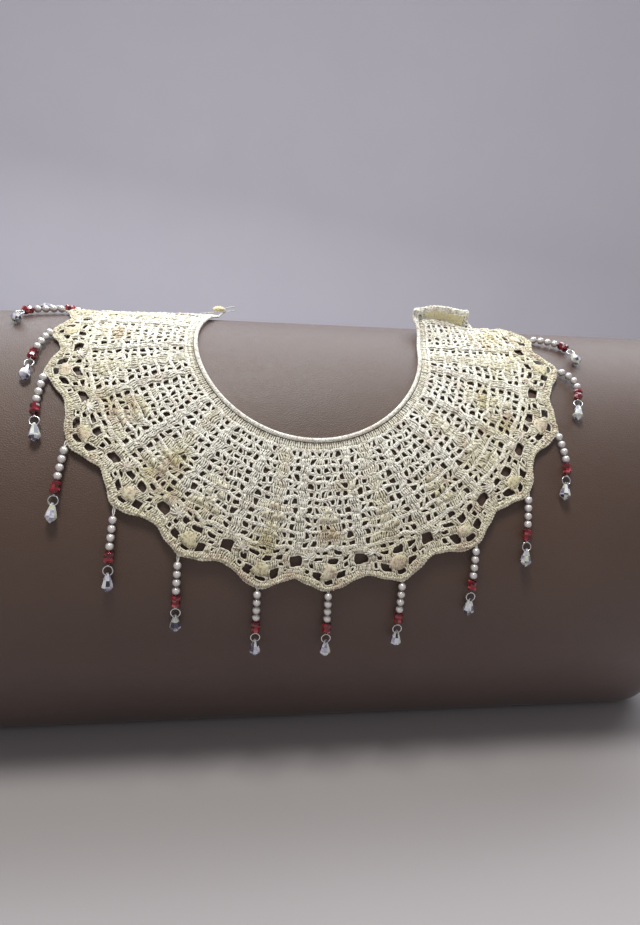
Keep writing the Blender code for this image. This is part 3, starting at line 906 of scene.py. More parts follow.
@dataclass
class Lace:
    """What the yoke and the border share: a thin pierced ground, and strands of yarn worked over it."""

    form: CollarForm
    rng: np.random.Generator
    ground: MeshBatch
    loops: MeshBatch = field(default_factory=MeshBatch)
    posts: MeshBatch = field(default_factory=MeshBatch)
    rounds: MeshBatch = field(default_factory=MeshBatch)
    ground_height: float = 0.0002
    ground_thick: float = 0.0005
    ground_warm: float = 0.55
    # Painted shade on the ground: a little under solid cells, much round the gaps.
    solid_painted_shade: float = 0.22
    gap_painted_shade: float = 0.85
    # Painted yellow light on the ground inside the rolled end.
    roll_painted_yellow_light: float = 1.3
    strand_radius: float = 0.00068
    strand_height: float = 0.00125
    strand_sides: int = 5
    strand_share: float = 0.50
    strand_swell: float = 0.17
    strand_uneven: float = 0.0003
    strand_wave: float = 0.00022
    loop_corners: int = 12
    gap_wobble: Pair = (0.10, 0.13)
    gap_squareness: float = 0.95
    gap_lean: float = 0.22
    gap_limit: float = 0.93
    post_radius: float = 0.00074
    post_pitch: float = 0.00150
    post_length: float = 0.0048
    post_gap: float = 0.03
    post_shift: float = 0.16
    post_lean: float = 0.0004
    post_uneven: float = 0.00035
    chain_radius: float = 0.00070
    chain_pitch: float = 0.0023
    chain_apart: float = 0.0010
    chain_drift: float = 0.00035
    neck_tone: float = 0.04
    edge_tone: float = 0.24
    tone_from: float = 0.125
    tone_over: float = 0.06
    first_patch: float = 0.118
    patch_span: float = 0.062
    patches: int = 34
    patch_size: float = 0.0075
    patch_width: float = 0.042

    def __post_init__(self) -> None:
        """Scatter the patches where the yarn is warmer."""
        spots = np.random.default_rng(SEED)
        self.patch_v = spots.uniform(0.0, self.form.scallops, self.patches)
        self.patch_radius = self.first_patch + self.patch_span * np.sqrt(spots.random(self.patches))
        self.patch_warm = spots.uniform(0.15, 0.55, self.patches)

    def radius_at(self, v: Array, t: Array) -> Array:
        """Radius of the row value t at v."""
        return np.broadcast_arrays(v, t)[1]

    def place(self, v: Array, t: Array, height: Array | float) -> Array:
        """Points of the draped lace at v and row value t."""
        return self.form.points(*self.form.loosened(v, self.radius_at(v, t)), height)

    def out(self, v: Array, t: Array) -> Array:
        """Directions out of the cloth at v and row value t."""
        return self.form.outward(*np.broadcast_arrays(v, self.radius_at(v, t)))

    def tone(self, v: Array, t: Array) -> Array:
        """How warm the yarn is: whiter at the neck, warmer towards the edge and in scattered patches.

        Args:
            v: Scallop tips counted from the left end.
            t: Row values, as radius_at takes them.

        Returns:
            Warmth at each place.
        """
        v, radius = np.broadcast_arrays(v, self.radius_at(v, t))
        found = self.neck_tone + self.edge_tone * smooth((radius - self.tone_from) / self.tone_over)
        for at_v, at_radius, warm in zip(self.patch_v, self.patch_radius, self.patch_warm):
            away = ((v - at_v) * self.patch_width) ** 2 + (radius - at_radius) ** 2
            found = found + warm * np.exp(-away / self.patch_size ** 2)
        return found

    def spots(self, cells: Sequence[Cell], x: Array, y: Array) -> tuple[Array, Array]:
        """Places (v, t) in each cell of points given from -1 to 1 across and along it.

        Args:
            cells: The cells.
            x: Places across each cell, from -1 to 1.
            y: Places along each cell, from -1 to 1.

        Returns:
            The v and the row values.
        """
        low, high, t = (np.array([getattr(c, name) for c in cells]) for name in ("low", "high", "t"))
        across, along = (x + 1) / 2, (y + 1) / 2
        v_low = low[:, :1] + (low[:, 1:] - low[:, :1]) * across
        v_high = high[:, :1] + (high[:, 1:] - high[:, :1]) * across
        return v_low + (v_high - v_low) * along, t[:, :1] + (t[:, 1:] - t[:, :1]) * along

    def work(self, cells: Sequence[Cell]) -> None:
        """Work these cells, the open ones with a loop of yarn round each gap, the others with posts.

        Args:
            cells: The cells.
        """
        open_cells = [c for c in cells if c.gap is not None]
        solid = [c for c in cells if c.gap is None]
        if open_cells:
            self.pierced(open_cells)
        if solid:
            self.plain_ground(solid)
            self.fill(solid)

    def plain_ground(self, cells: Sequence[Cell]) -> None:
        """Plain ground under the cells that are worked solid.

        Args:
            cells: The cells.
        """
        x, y = (np.tile(row, (len(cells), 1)) for row in ((-1.0, 1.0, 1.0, -1.0), (-1.0, -1.0, 1.0, 1.0)))
        v, t = self.spots(cells, x, y)
        top = self.place(v, t, self.ground_height + self.ground_thick)
        low = self.place(v, t, self.ground_height)
        index = np.arange(top.shape[0] * 4).reshape(-1, 4)
        after = np.roll(index, -1, axis=1)
        shift = index.size
        sides = np.stack([index, after, after + shift, index + shift], axis=-1).reshape(-1, 4)
        self.ground.add(np.concatenate([top.reshape(-1, 3), low.reshape(-1, 3)]),
                        [index[:, ::-1], index + shift, sides], self.ground_tone(v), self.solid_painted_shade)

    def ground_tone(self, v: Array) -> Array:
        """How warm the plain ground is, for its upper and lower corners: painted yellow inside the rolled
        end, for the shade there lit through the cotton.

        Args:
            v: Scallop tips counted from the left end.

        Returns:
            Warmth of the upper corners, then of the lower ones.
        """
        # Painted yellow light: the ground turns yellow past the roll's start, for the shade there lit through
        # the cotton.
        yellow = smooth((v - self.form.roll_start + 0.05) / 0.1)
        warm = self.ground_warm + (self.roll_painted_yellow_light - self.ground_warm) * yellow
        return np.tile(warm.reshape(-1), 2)

    def pierced(self, cells: Sequence[Cell]) -> None:
        """Ground with an uneven rounded opening in each cell, and the strand that is worked round it.

        Args:
            cells: The cells.
        """
        count, corners = len(cells), self.loop_corners
        turn = np.arange(corners) * (2 * math.pi / corners) + math.pi / corners
        square = np.stack([np.cos(turn), np.sin(turn)], axis=-1)
        square /= np.abs(square).max(axis=-1, keepdims=True)
        outer_x, outer_y = (np.tile(square[:, k], (count, 1)) for k in range(2))
        uneven = self.rng.uniform(-1.0, 1.0, (count, 5))
        phase = 3.0 * uneven[:, 2:3]
        wobble = 1.0 + self.gap_wobble[0] * uneven[:, :1] * np.cos(2 * turn)
        wobble = wobble + self.gap_wobble[1] * uneven[:, 1:2] * np.cos(3 * turn + phase)
        gap = np.array([c.gap for c in cells])
        across, along = (gap[:, k:k + 1] * wobble * np.sign(wave) * np.abs(wave) ** self.gap_squareness
                         for k, wave in enumerate((np.cos(turn), np.sin(turn))))
        lean, limit = self.gap_lean * uneven[:, 3:4], self.gap_limit
        hole_x = np.clip(across * np.cos(lean) - along * np.sin(lean), -limit, limit)
        hole_y = np.clip(across * np.sin(lean) + along * np.cos(lean), -limit, limit)
        edge = self.spots(cells, outer_x, outer_y)
        hole = self.spots(cells, hole_x, hole_y)
        v, t = (np.stack([edge[k], hole[k]], axis=1) for k in range(2))
        top = self.place(v, t, self.ground_height + self.ground_thick)
        low = self.place(v, t, self.ground_height)
        points = np.stack([top, low], axis=1)
        index = np.arange(points[..., 0].size).reshape(points.shape[:-1])
        ring = ((0, 0), (0, 1), (1, 1), (1, 0), (0, 0))
        bands = [quads(index[:, a, b], index[:, c, d]) for (a, b), (c, d) in zip(ring, ring[1:])]
        self.ground.add(points, bands, self.ground_warm, self.gap_painted_shade)
        share = self.strand_share
        v, t = self.spots(cells, hole_x + (outer_x - hole_x) * share, hole_y + (outer_y - hole_y) * share)
        raised = np.array([c.raised for c in cells])[:, None]
        height = self.strand_height + raised + self.strand_uneven * uneven[:, 4:5]
        height = height + self.strand_wave * np.cos(turn + phase)
        swell = 1.0 + self.strand_swell * (-1.0) ** np.arange(corners)
        warm = self.tone(v, t) + np.array([c.warm for c in cells])[:, None]
        self.loops.tubes(self.place(v, t, height), self.out(v, t), self.strand_radius * swell,
                         self.strand_sides, warm, closed=True)

    def fill(self, cells: Sequence[Cell]) -> None:
        """Upright stitches side by side in the cells that are worked solid.

        Args:
            cells: The cells.
        """
        starts, ends, raised, warm = [], [], [], []
        for cell in cells:
            middle = (cell.low[0] + cell.low[1]) / 2
            t_low, t_high = cell.t
            radius = float(self.radius_at(np.array(middle), np.array((t_low + t_high) / 2)))
            width = self.form.width(radius)
            wide = (cell.high[1] - cell.high[0] + cell.low[1] - cell.low[0]) / 2 * width
            count = max(1, round(wide / self.post_pitch))
            long = float(np.ptp(self.radius_at(np.full(2, middle), np.array(cell.t))))
            tiers = max(1, round(long / self.post_length))
            for tier in range(tiers):
                inner = tier / tiers + self.post_gap / tiers
                outer = (tier + 1) / tiers - self.post_gap / tiers
                for k in range(count):
                    share = (k + 0.5 + self.rng.uniform(-self.post_shift, self.post_shift)) / count
                    lean = self.rng.uniform(-1, 1) * self.post_lean / width
                    v_low, v_high = (a + (b - a) * share for a, b in (cell.low, cell.high))
                    starts.append((v_low + (v_high - v_low) * inner - lean, t_low + (t_high - t_low) * inner))
                    ends.append((v_low + (v_high - v_low) * outer + lean, t_low + (t_high - t_low) * outer))
                    raised.append(cell.raised + self.post_uneven * self.rng.uniform(-1, 1))
                    warm.append(cell.warm + 0.10 * self.rng.random())
        self.uprights(np.array(starts), np.array(ends), np.array(raised), np.array(warm))

    def uprights(self, starts: Array, ends: Array, raised: Array | float, warm: Array | float,
                 radius: float | None = None, steps: int = 5, arch: float = 0.0003) -> None:
        """Stitches from (v, t) to (v, t), each thicker where its yarn wraps round.

        Args:
            starts: Inner ends as rows of (v, t).
            ends: Outer ends as rows of (v, t).
            raised: Extra height, one value or one for each stitch.
            warm: Extra warmth, one value or one for each stitch.
            radius: Radius of a stitch, or None for the usual one.
            steps: Points along a stitch.
            arch: How much a stitch bows outwards.
        """
        share = np.linspace(0.0, 1.0, steps)
        path = starts[:, None] + (ends - starts)[:, None] * share[:, None]
        v, t = np.clip(path[..., 0], 0.0, self.form.scallops), path[..., 1]
        raised = np.broadcast_to(np.asarray(raised, float), (len(starts),))[:, None]
        height = self.strand_height + raised + arch * np.sin(math.pi * share)
        wrap = (radius or self.post_radius) * (0.84 + 0.24 * np.cos(share * 4 * math.pi))
        extra = np.broadcast_to(np.asarray(warm, float), (len(starts),))[:, None]
        self.posts.tubes(self.place(v, t, height), self.out(v, t), wrap, self.strand_sides,
                         self.tone(v, t) + extra)

    def chain(self, t: float, height: float, radius: float, warm: float) -> None:
        """A round of chain stitches at row value t, as two strands that swell in turn.

        Args:
            t: Row values, as radius_at takes them.
            height: Height above the cloth's underside.
            radius: Radius of a strand.
            warm: Extra warmth of the yarn.
        """
        last = float(self.form.scallops)
        middle = last / 2
        around = float(self.radius_at(np.array(middle), np.array(t)))
        links = round(last * self.form.width(around) / self.chain_pitch)
        steps = links * 3 + 1
        place = np.linspace(0.0, last, steps)
        phase = np.arange(steps) * (2 * math.pi / 3)
        metre = float(np.diff(self.radius_at(np.full(2, middle), np.array([t, t + 0.01])))[0]) / 0.01
        drift = self.chain_drift * (np.sin(place * 23.0 + 40.0 * t) + np.sin(place * 9.1 + 90.0 * t))
        rows = np.full(steps, t)
        for side in (-1.0, 1.0):
            swell = radius * (0.88 + 0.26 * np.sin(phase + (side + 1) * math.pi / 4))
            offset = (side * self.chain_apart / 2 + 0.00018 * np.sin(phase) + drift) / metre
            path = self.place(place, t + offset, height + 0.00025 * np.cos(phase + side))
            self.rounds.tubes(path[None], self.out(place, rows)[None], swell[None], self.strand_sides,
                              (self.tone(place, rows) + warm)[None])


@dataclass
class MeshYoke(Lace):
    """The wide lace ring between the neckband and the border, in panels that differ in turn."""

    start: float = 0.0939
    end: float = 0.1760
    rows: int = 13
    rib_half: float = 0.0029
    open_width: float = 0.0053
    mesh_width: float = 0.0056
    slant: float = 0.0010
    core_width: float = 0.0085
    rib_raise: float = 0.0009
    rib_warm: float = -0.15
    open_gap: Pair = (0.60, 0.76)
    mesh_gap: Pair = (0.34, 0.52)
    mesh_gap_length: Pair = (0.40, 0.58)
    solid_share: float = 0.07
    solid_share_outside: float = 0.30
    narrowest: float = 0.02
    jitter: float = 0.00035
    first_row_cells: int = 16
    puff_rows: tuple[int, int] = (8, 12)
    puff_pitch: float = 0.0050
    puff_uneven: float = 0.0012
    puff_radius: float = 0.00066
    end_cord_height: float = 0.0008
    end_cord_reach: float = 0.206
    end_cord_steps: int = 91

    def __post_init__(self) -> None:
        """Scatter the patches and work out the rows' pitch."""
        super().__post_init__()
        self.pitch = (self.end - self.start) / self.rows

    def lines(self, tip: int, row: int, width: float) -> list[tuple[float, Work]]:
        """Upright lines of one panel as (metres from its middle, how the cell to the right is worked).

        Args:
            tip: Number of the scallop tip, from the left end.
            row: Number of the row, from the neck.
            width: The panel's width.

        Returns:
            The lines from left to right.
        """
        growth = 0.9 + 0.25 * row / self.rows
        half, rib, gap = width / 2, self.rib_half * growth, self.open_width * growth
        if tip % 2 == 0:
            room = 2 * (half - rib - gap)
            count = max(1, round(room / self.mesh_width))
            inner = [(-half + rib + gap + room * k / count, Work.MESH) for k in range(count)]
        else:
            core = self.core_width * growth / 2
            room = half - rib - gap - core
            count = max(0, round(room / self.mesh_width))
            core = core if count else half - rib - gap
            side = [room * k / count for k in range(count)]
            left = [(-half + rib + gap + x, Work.MESH) for x in side]
            inner = [*left, (-core, Work.CORE), *((core + x, Work.MESH) for x in side)]
        return [(-half, Work.RIB), (-half + rib, Work.OPEN), *inner, (half - rib - gap, Work.OPEN),
                (half - rib, Work.RIB), (half, Work.NONE)]

    def cells(self, tip: int, row: int) -> list[Cell]:
        """The cells of one row of one panel, from the neck outwards.

        Args:
            tip: Number of the scallop tip, from the left end.
            row: Number of the row, from the neck.

        Returns:
            The cells from left to right.
        """
        t = (self.start + row * self.pitch, self.start + (row + 1) * self.pitch)
        if row == 0:
            count = self.first_row_cells
            spans = [(k / count - 0.5, (k + 1) / count - 0.5) for k in range(count)]
            return [Cell((a, b), (a, b), t, warm=0.05) for a, b in self.within(tip, spans)]
        found = []
        inner = self.lines(tip, row, self.form.width(t[0]))
        outer = self.lines(tip, row, self.form.width(t[1]))
        if len(inner) != len(outer):
            inner = [(x * self.form.width(t[0]) / self.form.width(t[1]), kind) for x, kind in outer]
        jitter = self.rng.uniform(-1, 1, (len(inner), 2)) * self.jitter
        for k in range(len(inner) - 1):
            places = []
            for line, radius, side in ((inner, t[0], 0), (outer, t[1], 1)):
                for number in (k, k + 1):
                    x, kind = line[number]
                    if 0 < number < len(line) - 1:
                        if Work.MESH in (kind, line[number - 1][1]):
                            x += self.slant * (-1) ** (number + row + side)
                        x += jitter[number, side]
                    places.append(tip + x / self.form.width(radius))
            low = tuple(np.clip(places[:2], 0.0, self.form.scallops))
            high = tuple(np.clip(places[2:], 0.0, self.form.scallops))
            if min(low[1] - low[0], high[1] - high[0]) < self.narrowest:
                continue
            cut_off = low[1] - low[0] < 0.6 * (places[1] - places[0]) or (
                low[1] > self.form.roll_start and t[0] < self.form.roll_fades[0])
            found.append(Cell(low, high, t, *self.worked(inner[k][1], row, cut_off)))
        return found

    def within(self, tip: int, spans: Sequence[Pair]) -> list[Pair]:
        """Spans from the tip, cut to the collar's two ends."""
        found = [(max(tip + a, 0.0), min(tip + b, float(self.form.scallops))) for a, b in spans]
        return [(a, b) for a, b in found if b - a > 0.01]

    def worked(self, kind: Work, row: int, cut_off: bool) -> tuple[Pair | None, float, float]:
        """How a cell of this kind is worked: its gap or None, its extra height and its extra warmth.

        Args:
            kind: How the cell is worked.
            row: Number of the row, from the neck.
            cut_off: Whether the collar's end or its roll cuts the cell.

        Returns:
            The gap, the extra height and the extra warmth.
        """
        if kind is Work.RIB:
            return None, self.rib_raise, self.rib_warm
        if kind is Work.CORE:
            return None, 0.0003 + 0.0004 * self.rng.random(), 0.10 + 0.10 * self.rng.random()
        if cut_off:
            return None, 0.0, 0.0
        roll = self.rng.random()
        if kind is Work.OPEN:
            size = self.rng.uniform(*self.open_gap)
            return (size, size * self.rng.uniform(0.92, 1.05)), 0.0001, 0.0
        outside = self.puff_rows[0] <= row <= self.puff_rows[1]
        if roll < (self.solid_share_outside if outside else self.solid_share):
            return None, 0.0005 * self.rng.random(), 0.08
        size = self.rng.uniform(*self.mesh_gap)
        return (size, self.rng.uniform(*self.mesh_gap_length)), 0.0, 0.0

    def puffs(self) -> None:
        """Raised textured clusters in the middle of the panels, two thirds of the way out."""
        fan = np.linspace(-1, 1, 4)
        for tip in range(self.form.scallops + 1):
            for row in range(*self.puff_rows):
                middle = self.start + (row + 0.5 + 0.2 * self.rng.uniform(-1, 1)) * self.pitch
                width = self.form.width(middle)
                count = 3 if row % 2 else 2
                for k in range(count):
                    side = (k - (count - 1) / 2) * self.puff_pitch
                    v = tip + (side + self.rng.uniform(-1, 1) * self.puff_uneven) / width
                    if not 0.08 <= v <= self.form.scallops - 0.08 or self.rng.random() < 0.2:
                        continue
                    starts, ends = (np.stack([v + fan * spread / width, np.full(4, middle + out)], axis=-1)
                                    for spread, out in ((0.0004, -0.0020), (0.0017, 0.0018)))
                    self.uprights(starts, ends, 0.0007, 0.2 + 0.3 * self.rng.random(), self.puff_radius,
                                  arch=0.0008)

    def free_ends(self) -> None:
        """The cord of stitches along each free end."""
        steps = self.end_cord_steps
        radius = np.linspace(self.start + 0.0010, self.end_cord_reach, steps)
        for v, inwards, wide in ((0.0, 1.0, 0.00105), (float(self.form.scallops), -1.0, 0.00135)):
            for shift in (0.0, 1.0):
                place = v + inwards * (0.0010 + shift * 0.0014) / self.form.width(radius)
                swell = wide * (0.85 + 0.2 * np.cos(np.arange(steps) * 1.9 + shift * 2))
                path = self.form.points(place, radius, self.end_cord_height + 0.0002 * shift)
                up = self.form.outward(place, radius)
                self.posts.tubes(path[None], up[None], swell[None], 7, Yarn.FREE_END.value)

    def build(self) -> None:
        """Work the yoke, row by row from the neck."""
        for row in range(self.rows):
            self.work([cell for tip in range(self.form.scallops + 1) for cell in self.cells(tip, row)])
        for row in range(1, self.rows + 1):
            height, swell, warm = (0.0017, 1.12, -0.16) if row % 2 else (0.0011, 0.92, 0.0)
            self.chain(self.start + row * self.pitch, height, self.chain_radius * swell, warm)
        self.puffs()
        self.free_ends()


@dataclass(frozen=True)
class BorderTile:
    """One tile of a scallop: its degrees from the left valley, its shares of the way out, and its gap."""

    start: float
    end: float
    inner: float
    outer: float
    gap: float = 0.0
    raised: float = 0.0
    warm: float = 0.0


BORDER_TILES = tuple(BorderTile(*row) for row in (
    (1.5, 3.4, 0.02, 0.18, 0.68), (3.4, 4.3, 0.02, 0.18), (4.3, 6.2, 0.02, 0.18, 0.70),
    (6.2, 8.4, 0.02, 0.18, 0.72), (8.4, 9.3, 0.02, 0.18), (9.3, 11.6, 0.02, 0.18, 0.74),
    (11.6, 12.4, 0.02, 0.18), (12.4, 14.0, 0.02, 0.18, 0.68), (14.0, 17.5, 0.02, 0.22, 0.0, 0.0007, -0.15),
    (1.5, 4.1, 0.18, 0.36, 0.0, 0.0, -0.2), (4.1, 6.8, 0.18, 0.37, 0.80), (6.8, 7.4, 0.18, 0.36),
    (7.4, 10.3, 0.18, 0.41, 0.88), (10.3, 10.8, 0.18, 0.36), (10.8, 13.1, 0.18, 0.37, 0.80),
    (13.1, 14.0, 0.18, 0.36), (14.0, 17.5, 0.22, 0.62, 0.92), (14.0, 17.5, 0.62, 0.84, 0.0, 0.0, -0.1),
    (1.5, 2.8, 0.36, 0.57), (2.8, 4.7, 0.36, 0.57, 0.66), (4.7, 7.4, 0.37, 0.57), (7.4, 10.3, 0.41, 0.57),
    (10.3, 11.3, 0.37, 0.57), (11.3, 13.1, 0.37, 0.57, 0.64), (13.1, 14.0, 0.36, 0.57),
    (1.5, 2.2, 0.57, 0.83), (2.2, 3.7, 0.57, 0.78, 0.62), (3.7, 3.9, 0.57, 0.83),
    (3.9, 6.4, 0.57, 0.84, 0.90), (6.4, 6.8, 0.57, 0.83), (6.8, 9.3, 0.57, 0.72),
    (6.8, 9.3, 0.72, 0.88, 0.86), (9.3, 9.8, 0.57, 0.83), (9.8, 12.2, 0.57, 0.83, 0.90),
    (12.2, 13.0, 0.57, 0.83), (13.0, 14.0, 0.60, 0.80, 0.66),
))

# Strands of the white knot, as degrees from straight to the neck and shares of the knot's length
KNOT_STRANDS = ((-115, 1.0), (-88, 1.1), (-62, 1.15), (-38, 1.1), (-12, 1.0), (14, 0.9), (40, 0.8),
                (95, 0.6), (150, 0.6))

# Rounds of the edging, as phase, shares of the way out, stitch radius and extra height
EDGE_ROUNDS = ((0.0, 0.83, 0.925, 0.00080, 0.0003), (0.5, 0.905, 1.0, 0.00088, 0.0007))


@dataclass
class ScallopBorder(Lace):
    """The scalloped rim: gaps round a shell in each scallop, a large gap in each valley, a dense edge."""

    start: float = 0.1763
    edge_from: float = 0.82
    edge_to: float = 0.99
    edge_cells: int = 12
    tip_cells: tuple[int, int] = (5, 6)
    tip_from: float = 0.88
    edge_sink: float = -0.0004
    edge_pitch: float = 0.0017
    edge_lean: float = 0.010
    edge_uneven: Pair = (0.02, 0.045)
    edge_raise: float = 0.0004
    edge_warm: float = 0.34
    edge_samples: int = 6000
    string_gap: float = 0.08
    string_shift: float = 0.003
    solid_deg: float = 1.7
    shell_height: float = 0.0010
    shell_radius: float = 0.00086
    shell_strands: int = 11
    shell_steps: int = 8
    knot_at: Pair = (3.1, 0.30)
    knot_length: float = 0.0062
    knot_radius: float = 0.00062
    knot_ring: float = 0.187
    knot_deep: float = 0.027

    def radius_at(self, v: Array, t: Array) -> Array:
        """Rows are shares of the way from the border's start to the scalloped edge."""
        return self.start + t * (self.form.edge(v) - self.start)

    def cells(self, tip: int) -> list[Cell]:
        """The cells of one scallop.

        Args:
            tip: Number of the scallop tip, from the left end.

        Returns:
            The cells, those of the dense edge last.
        """
        found = []
        for tile in BORDER_TILES:
            wide = tile.end - tile.start
            pieces = 1 if tile.gap else max(1, round(wide / self.solid_deg))
            for k in range(pieces):
                sides = [tip - 0.5 + (tile.start + wide * (k + n) / pieces) / self.form.scallop_deg
                         for n in (0, 1)]
                v = tuple(np.clip(sides, 0.0, self.form.scallops))
                if v[1] - v[0] < 0.01:
                    continue
                whole = v[1] - v[0] > 0.8 * (sides[1] - sides[0])
                gap = (tile.gap, tile.gap * self.rng.uniform(0.95, 1.08)) if tile.gap and whole else None
                found.append(Cell(v, v, (tile.inner, tile.outer), gap, tile.raised, tile.warm))
        for k in range(self.edge_cells):
            sides = [tip - 0.5 + (k + n) / self.edge_cells for n in (0, 1)]
            v = tuple(np.clip(sides, 0.0, self.form.scallops))
            if v[1] - v[0] > 0.01:
                start = self.tip_from if k in self.tip_cells else self.edge_from
                found.append(Cell(v, v, (start, self.edge_to), None, self.edge_sink, 0.1))
        return found

    def shell(self, tip: int) -> None:
        """The fan of stitches in the middle of a scallop.

        Args:
            tip: Number of the scallop tip, from the left end.
        """
        spread = np.linspace(-1.0, 1.0, self.shell_strands)[:, None]
        if tip == 0:
            spread = spread[spread[:, 0] > 0.2]
        if tip == self.form.scallops:
            spread = spread[spread[:, 0] < -0.2]
        share = np.linspace(0.0, 1.0, self.shell_steps)
        v = tip + spread * (1.0 + 0.92 * share) / self.form.scallop_deg
        t = 0.42 + 0.05 * spread ** 2 + (0.30 - 0.08 * spread ** 2) * share
        crown = np.sin(math.pi * np.clip(share * 0.9 + 0.08, 0, 1)) ** 0.7
        height = self.strand_height + 0.0003 + self.shell_height * crown * (1 - 0.5 * spread ** 2)
        radius = self.shell_radius * (0.9 + 0.15 * np.cos(share * 6 * math.pi))
        warm = 0.35 + 0.28 * abs(math.cos(tip * 1.7)) + 0.1 * np.cos(np.arange(len(spread)) * 2.4)[:, None]
        self.posts.tubes(self.place(v, t, height), self.out(v, t), radius, 7, self.tone(v, t) * 0.5 + warm)

    def knot(self, tip: int) -> None:
        """The white knot beside each valley, with its strands spread towards the neck.

        Args:
            tip: Number of the scallop tip, from the left end.
        """
        degrees, share = self.knot_at
        v = tip - 0.5 + degrees / self.form.scallop_deg
        if not 0.1 < v < self.form.scallops - 0.1:
            return
        angle = np.radians(np.array([strand[0] for strand in KNOT_STRANDS]))
        long = np.array([strand[1] for strand in KNOT_STRANDS]) * self.knot_length
        side = long * np.sin(angle) / self.form.width(self.knot_ring)
        ends = np.stack([v + side, share - long * np.cos(angle) / self.knot_deep], axis=-1)
        starts = np.tile((v, share), (len(angle), 1))
        self.uprights(starts, ends, 0.0008, -0.6, self.knot_radius, 6, 0.0006)

    def edging(self) -> None:
        """Two rounds of dense stitches along the scalloped edge, square to it."""
        last = float(self.form.scallops)
        fine = np.linspace(0.0, last, self.edge_samples)
        edge = self.form.under(fine, self.form.edge(fine))
        length = np.concatenate([[0.0], np.cumsum(np.linalg.norm(np.diff(edge, axis=0), axis=1))])
        count = int(length[-1] / self.edge_pitch)
        for shift, inner, outer, radius, raised in EDGE_ROUNDS:
            v = np.interp((np.arange(count) + 0.25 + shift) / count * length[-1], length, fine)
            if shift == 0.0:
                v = v[np.abs(v - np.round(v) - self.string_shift) > self.string_gap]
            start_by, end_by = self.edge_uneven
            lean = self.rng.uniform(-1, 1, len(v)) * self.edge_lean
            starts = np.stack([v - lean, inner + self.rng.uniform(-start_by, start_by, len(v))], axis=-1)
            ends = np.stack([v + lean, outer - self.rng.uniform(0.0, end_by, len(v))], axis=-1)
            self.uprights(starts, ends, raised + self.edge_raise * self.rng.uniform(-1, 1, len(v)),
                          self.edge_warm * self.rng.random(len(v)), radius, 6, 0.0006)

    def build(self) -> None:
        """Work the border, scallop by scallop."""
        for tip in range(self.form.scallops + 1):
            self.work(self.cells(tip))
            self.shell(tip)
            self.knot(tip)
        self.edging()
        for t, height, swell, warm in ((0.02, 0.0016, 1.0, -0.15), (0.18, 0.0012, 1.0, -0.1),
                                       (0.985, 0.0016, 1.2, 0.12)):
            self.chain(t, height, self.chain_radius * swell, warm)


@dataclass
class LaceCloth:
    """The whole flat-worked cloth: yoke and border over one pierced ground."""

    form: CollarForm
    rng: np.random.Generator
    cut: Pair = (0.418, 0.314)
    flat_area: float = 0.0690

    def build(self) -> tuple[bpy.types.Object, list[bpy.types.Object]]:
        """Make and dress the cloth.

        Returns:
            The ground, and the pieces of stitches that lie on it.
        """
        ground = MeshBatch()
        yoke = MeshYoke(self.form, self.rng, ground)
        border = ScallopBorder(self.form, self.rng, ground)
        yoke.build()
        border.build()
        cotton = CottonFinish("cotton_lace").material()
        edging = EDGING.material()
        sheet = seat(ground.build("lace_ground", cotton), "cotton_lace", "mesh_yoke", "scallop_border")
        pieces = []
        for name, lace, finish, slot in (("yoke", yoke, cotton, "cotton_lace"),
                                         ("border", border, edging, "cotton_edging")):
            for part, batch in (("loops", lace.loops), ("posts", lace.posts), ("rounds", lace.rounds)):
                pieces.append(seat(batch.build(f"{name}_{part}", finish), slot))
        return sheet, pieces


# Thread tails of the knob, each as a start, a bend and an end from the knob's middle, and a radius
TAILS = (
    ((0.0042, 0.0, 0.0006), (0.0090, 0.0006, 0.0022), (0.0140, 0.0, 0.0026), 0.00042),
    ((0.0040, -0.001, -0.0016), (0.0095, -0.001, -0.0018), (0.0148, 0.0, -0.0004), 0.00042),
    ((0.0049, 0.0, 0.0002), (0.0066, 0.0, -0.0022), (0.0034, 0.0, -0.0033), 0.0008),
    ((-0.0010, -0.0016, -0.0020), (-0.0080, -0.003, -0.0036), (-0.0160, -0.003, -0.0042), 0.00042),
)


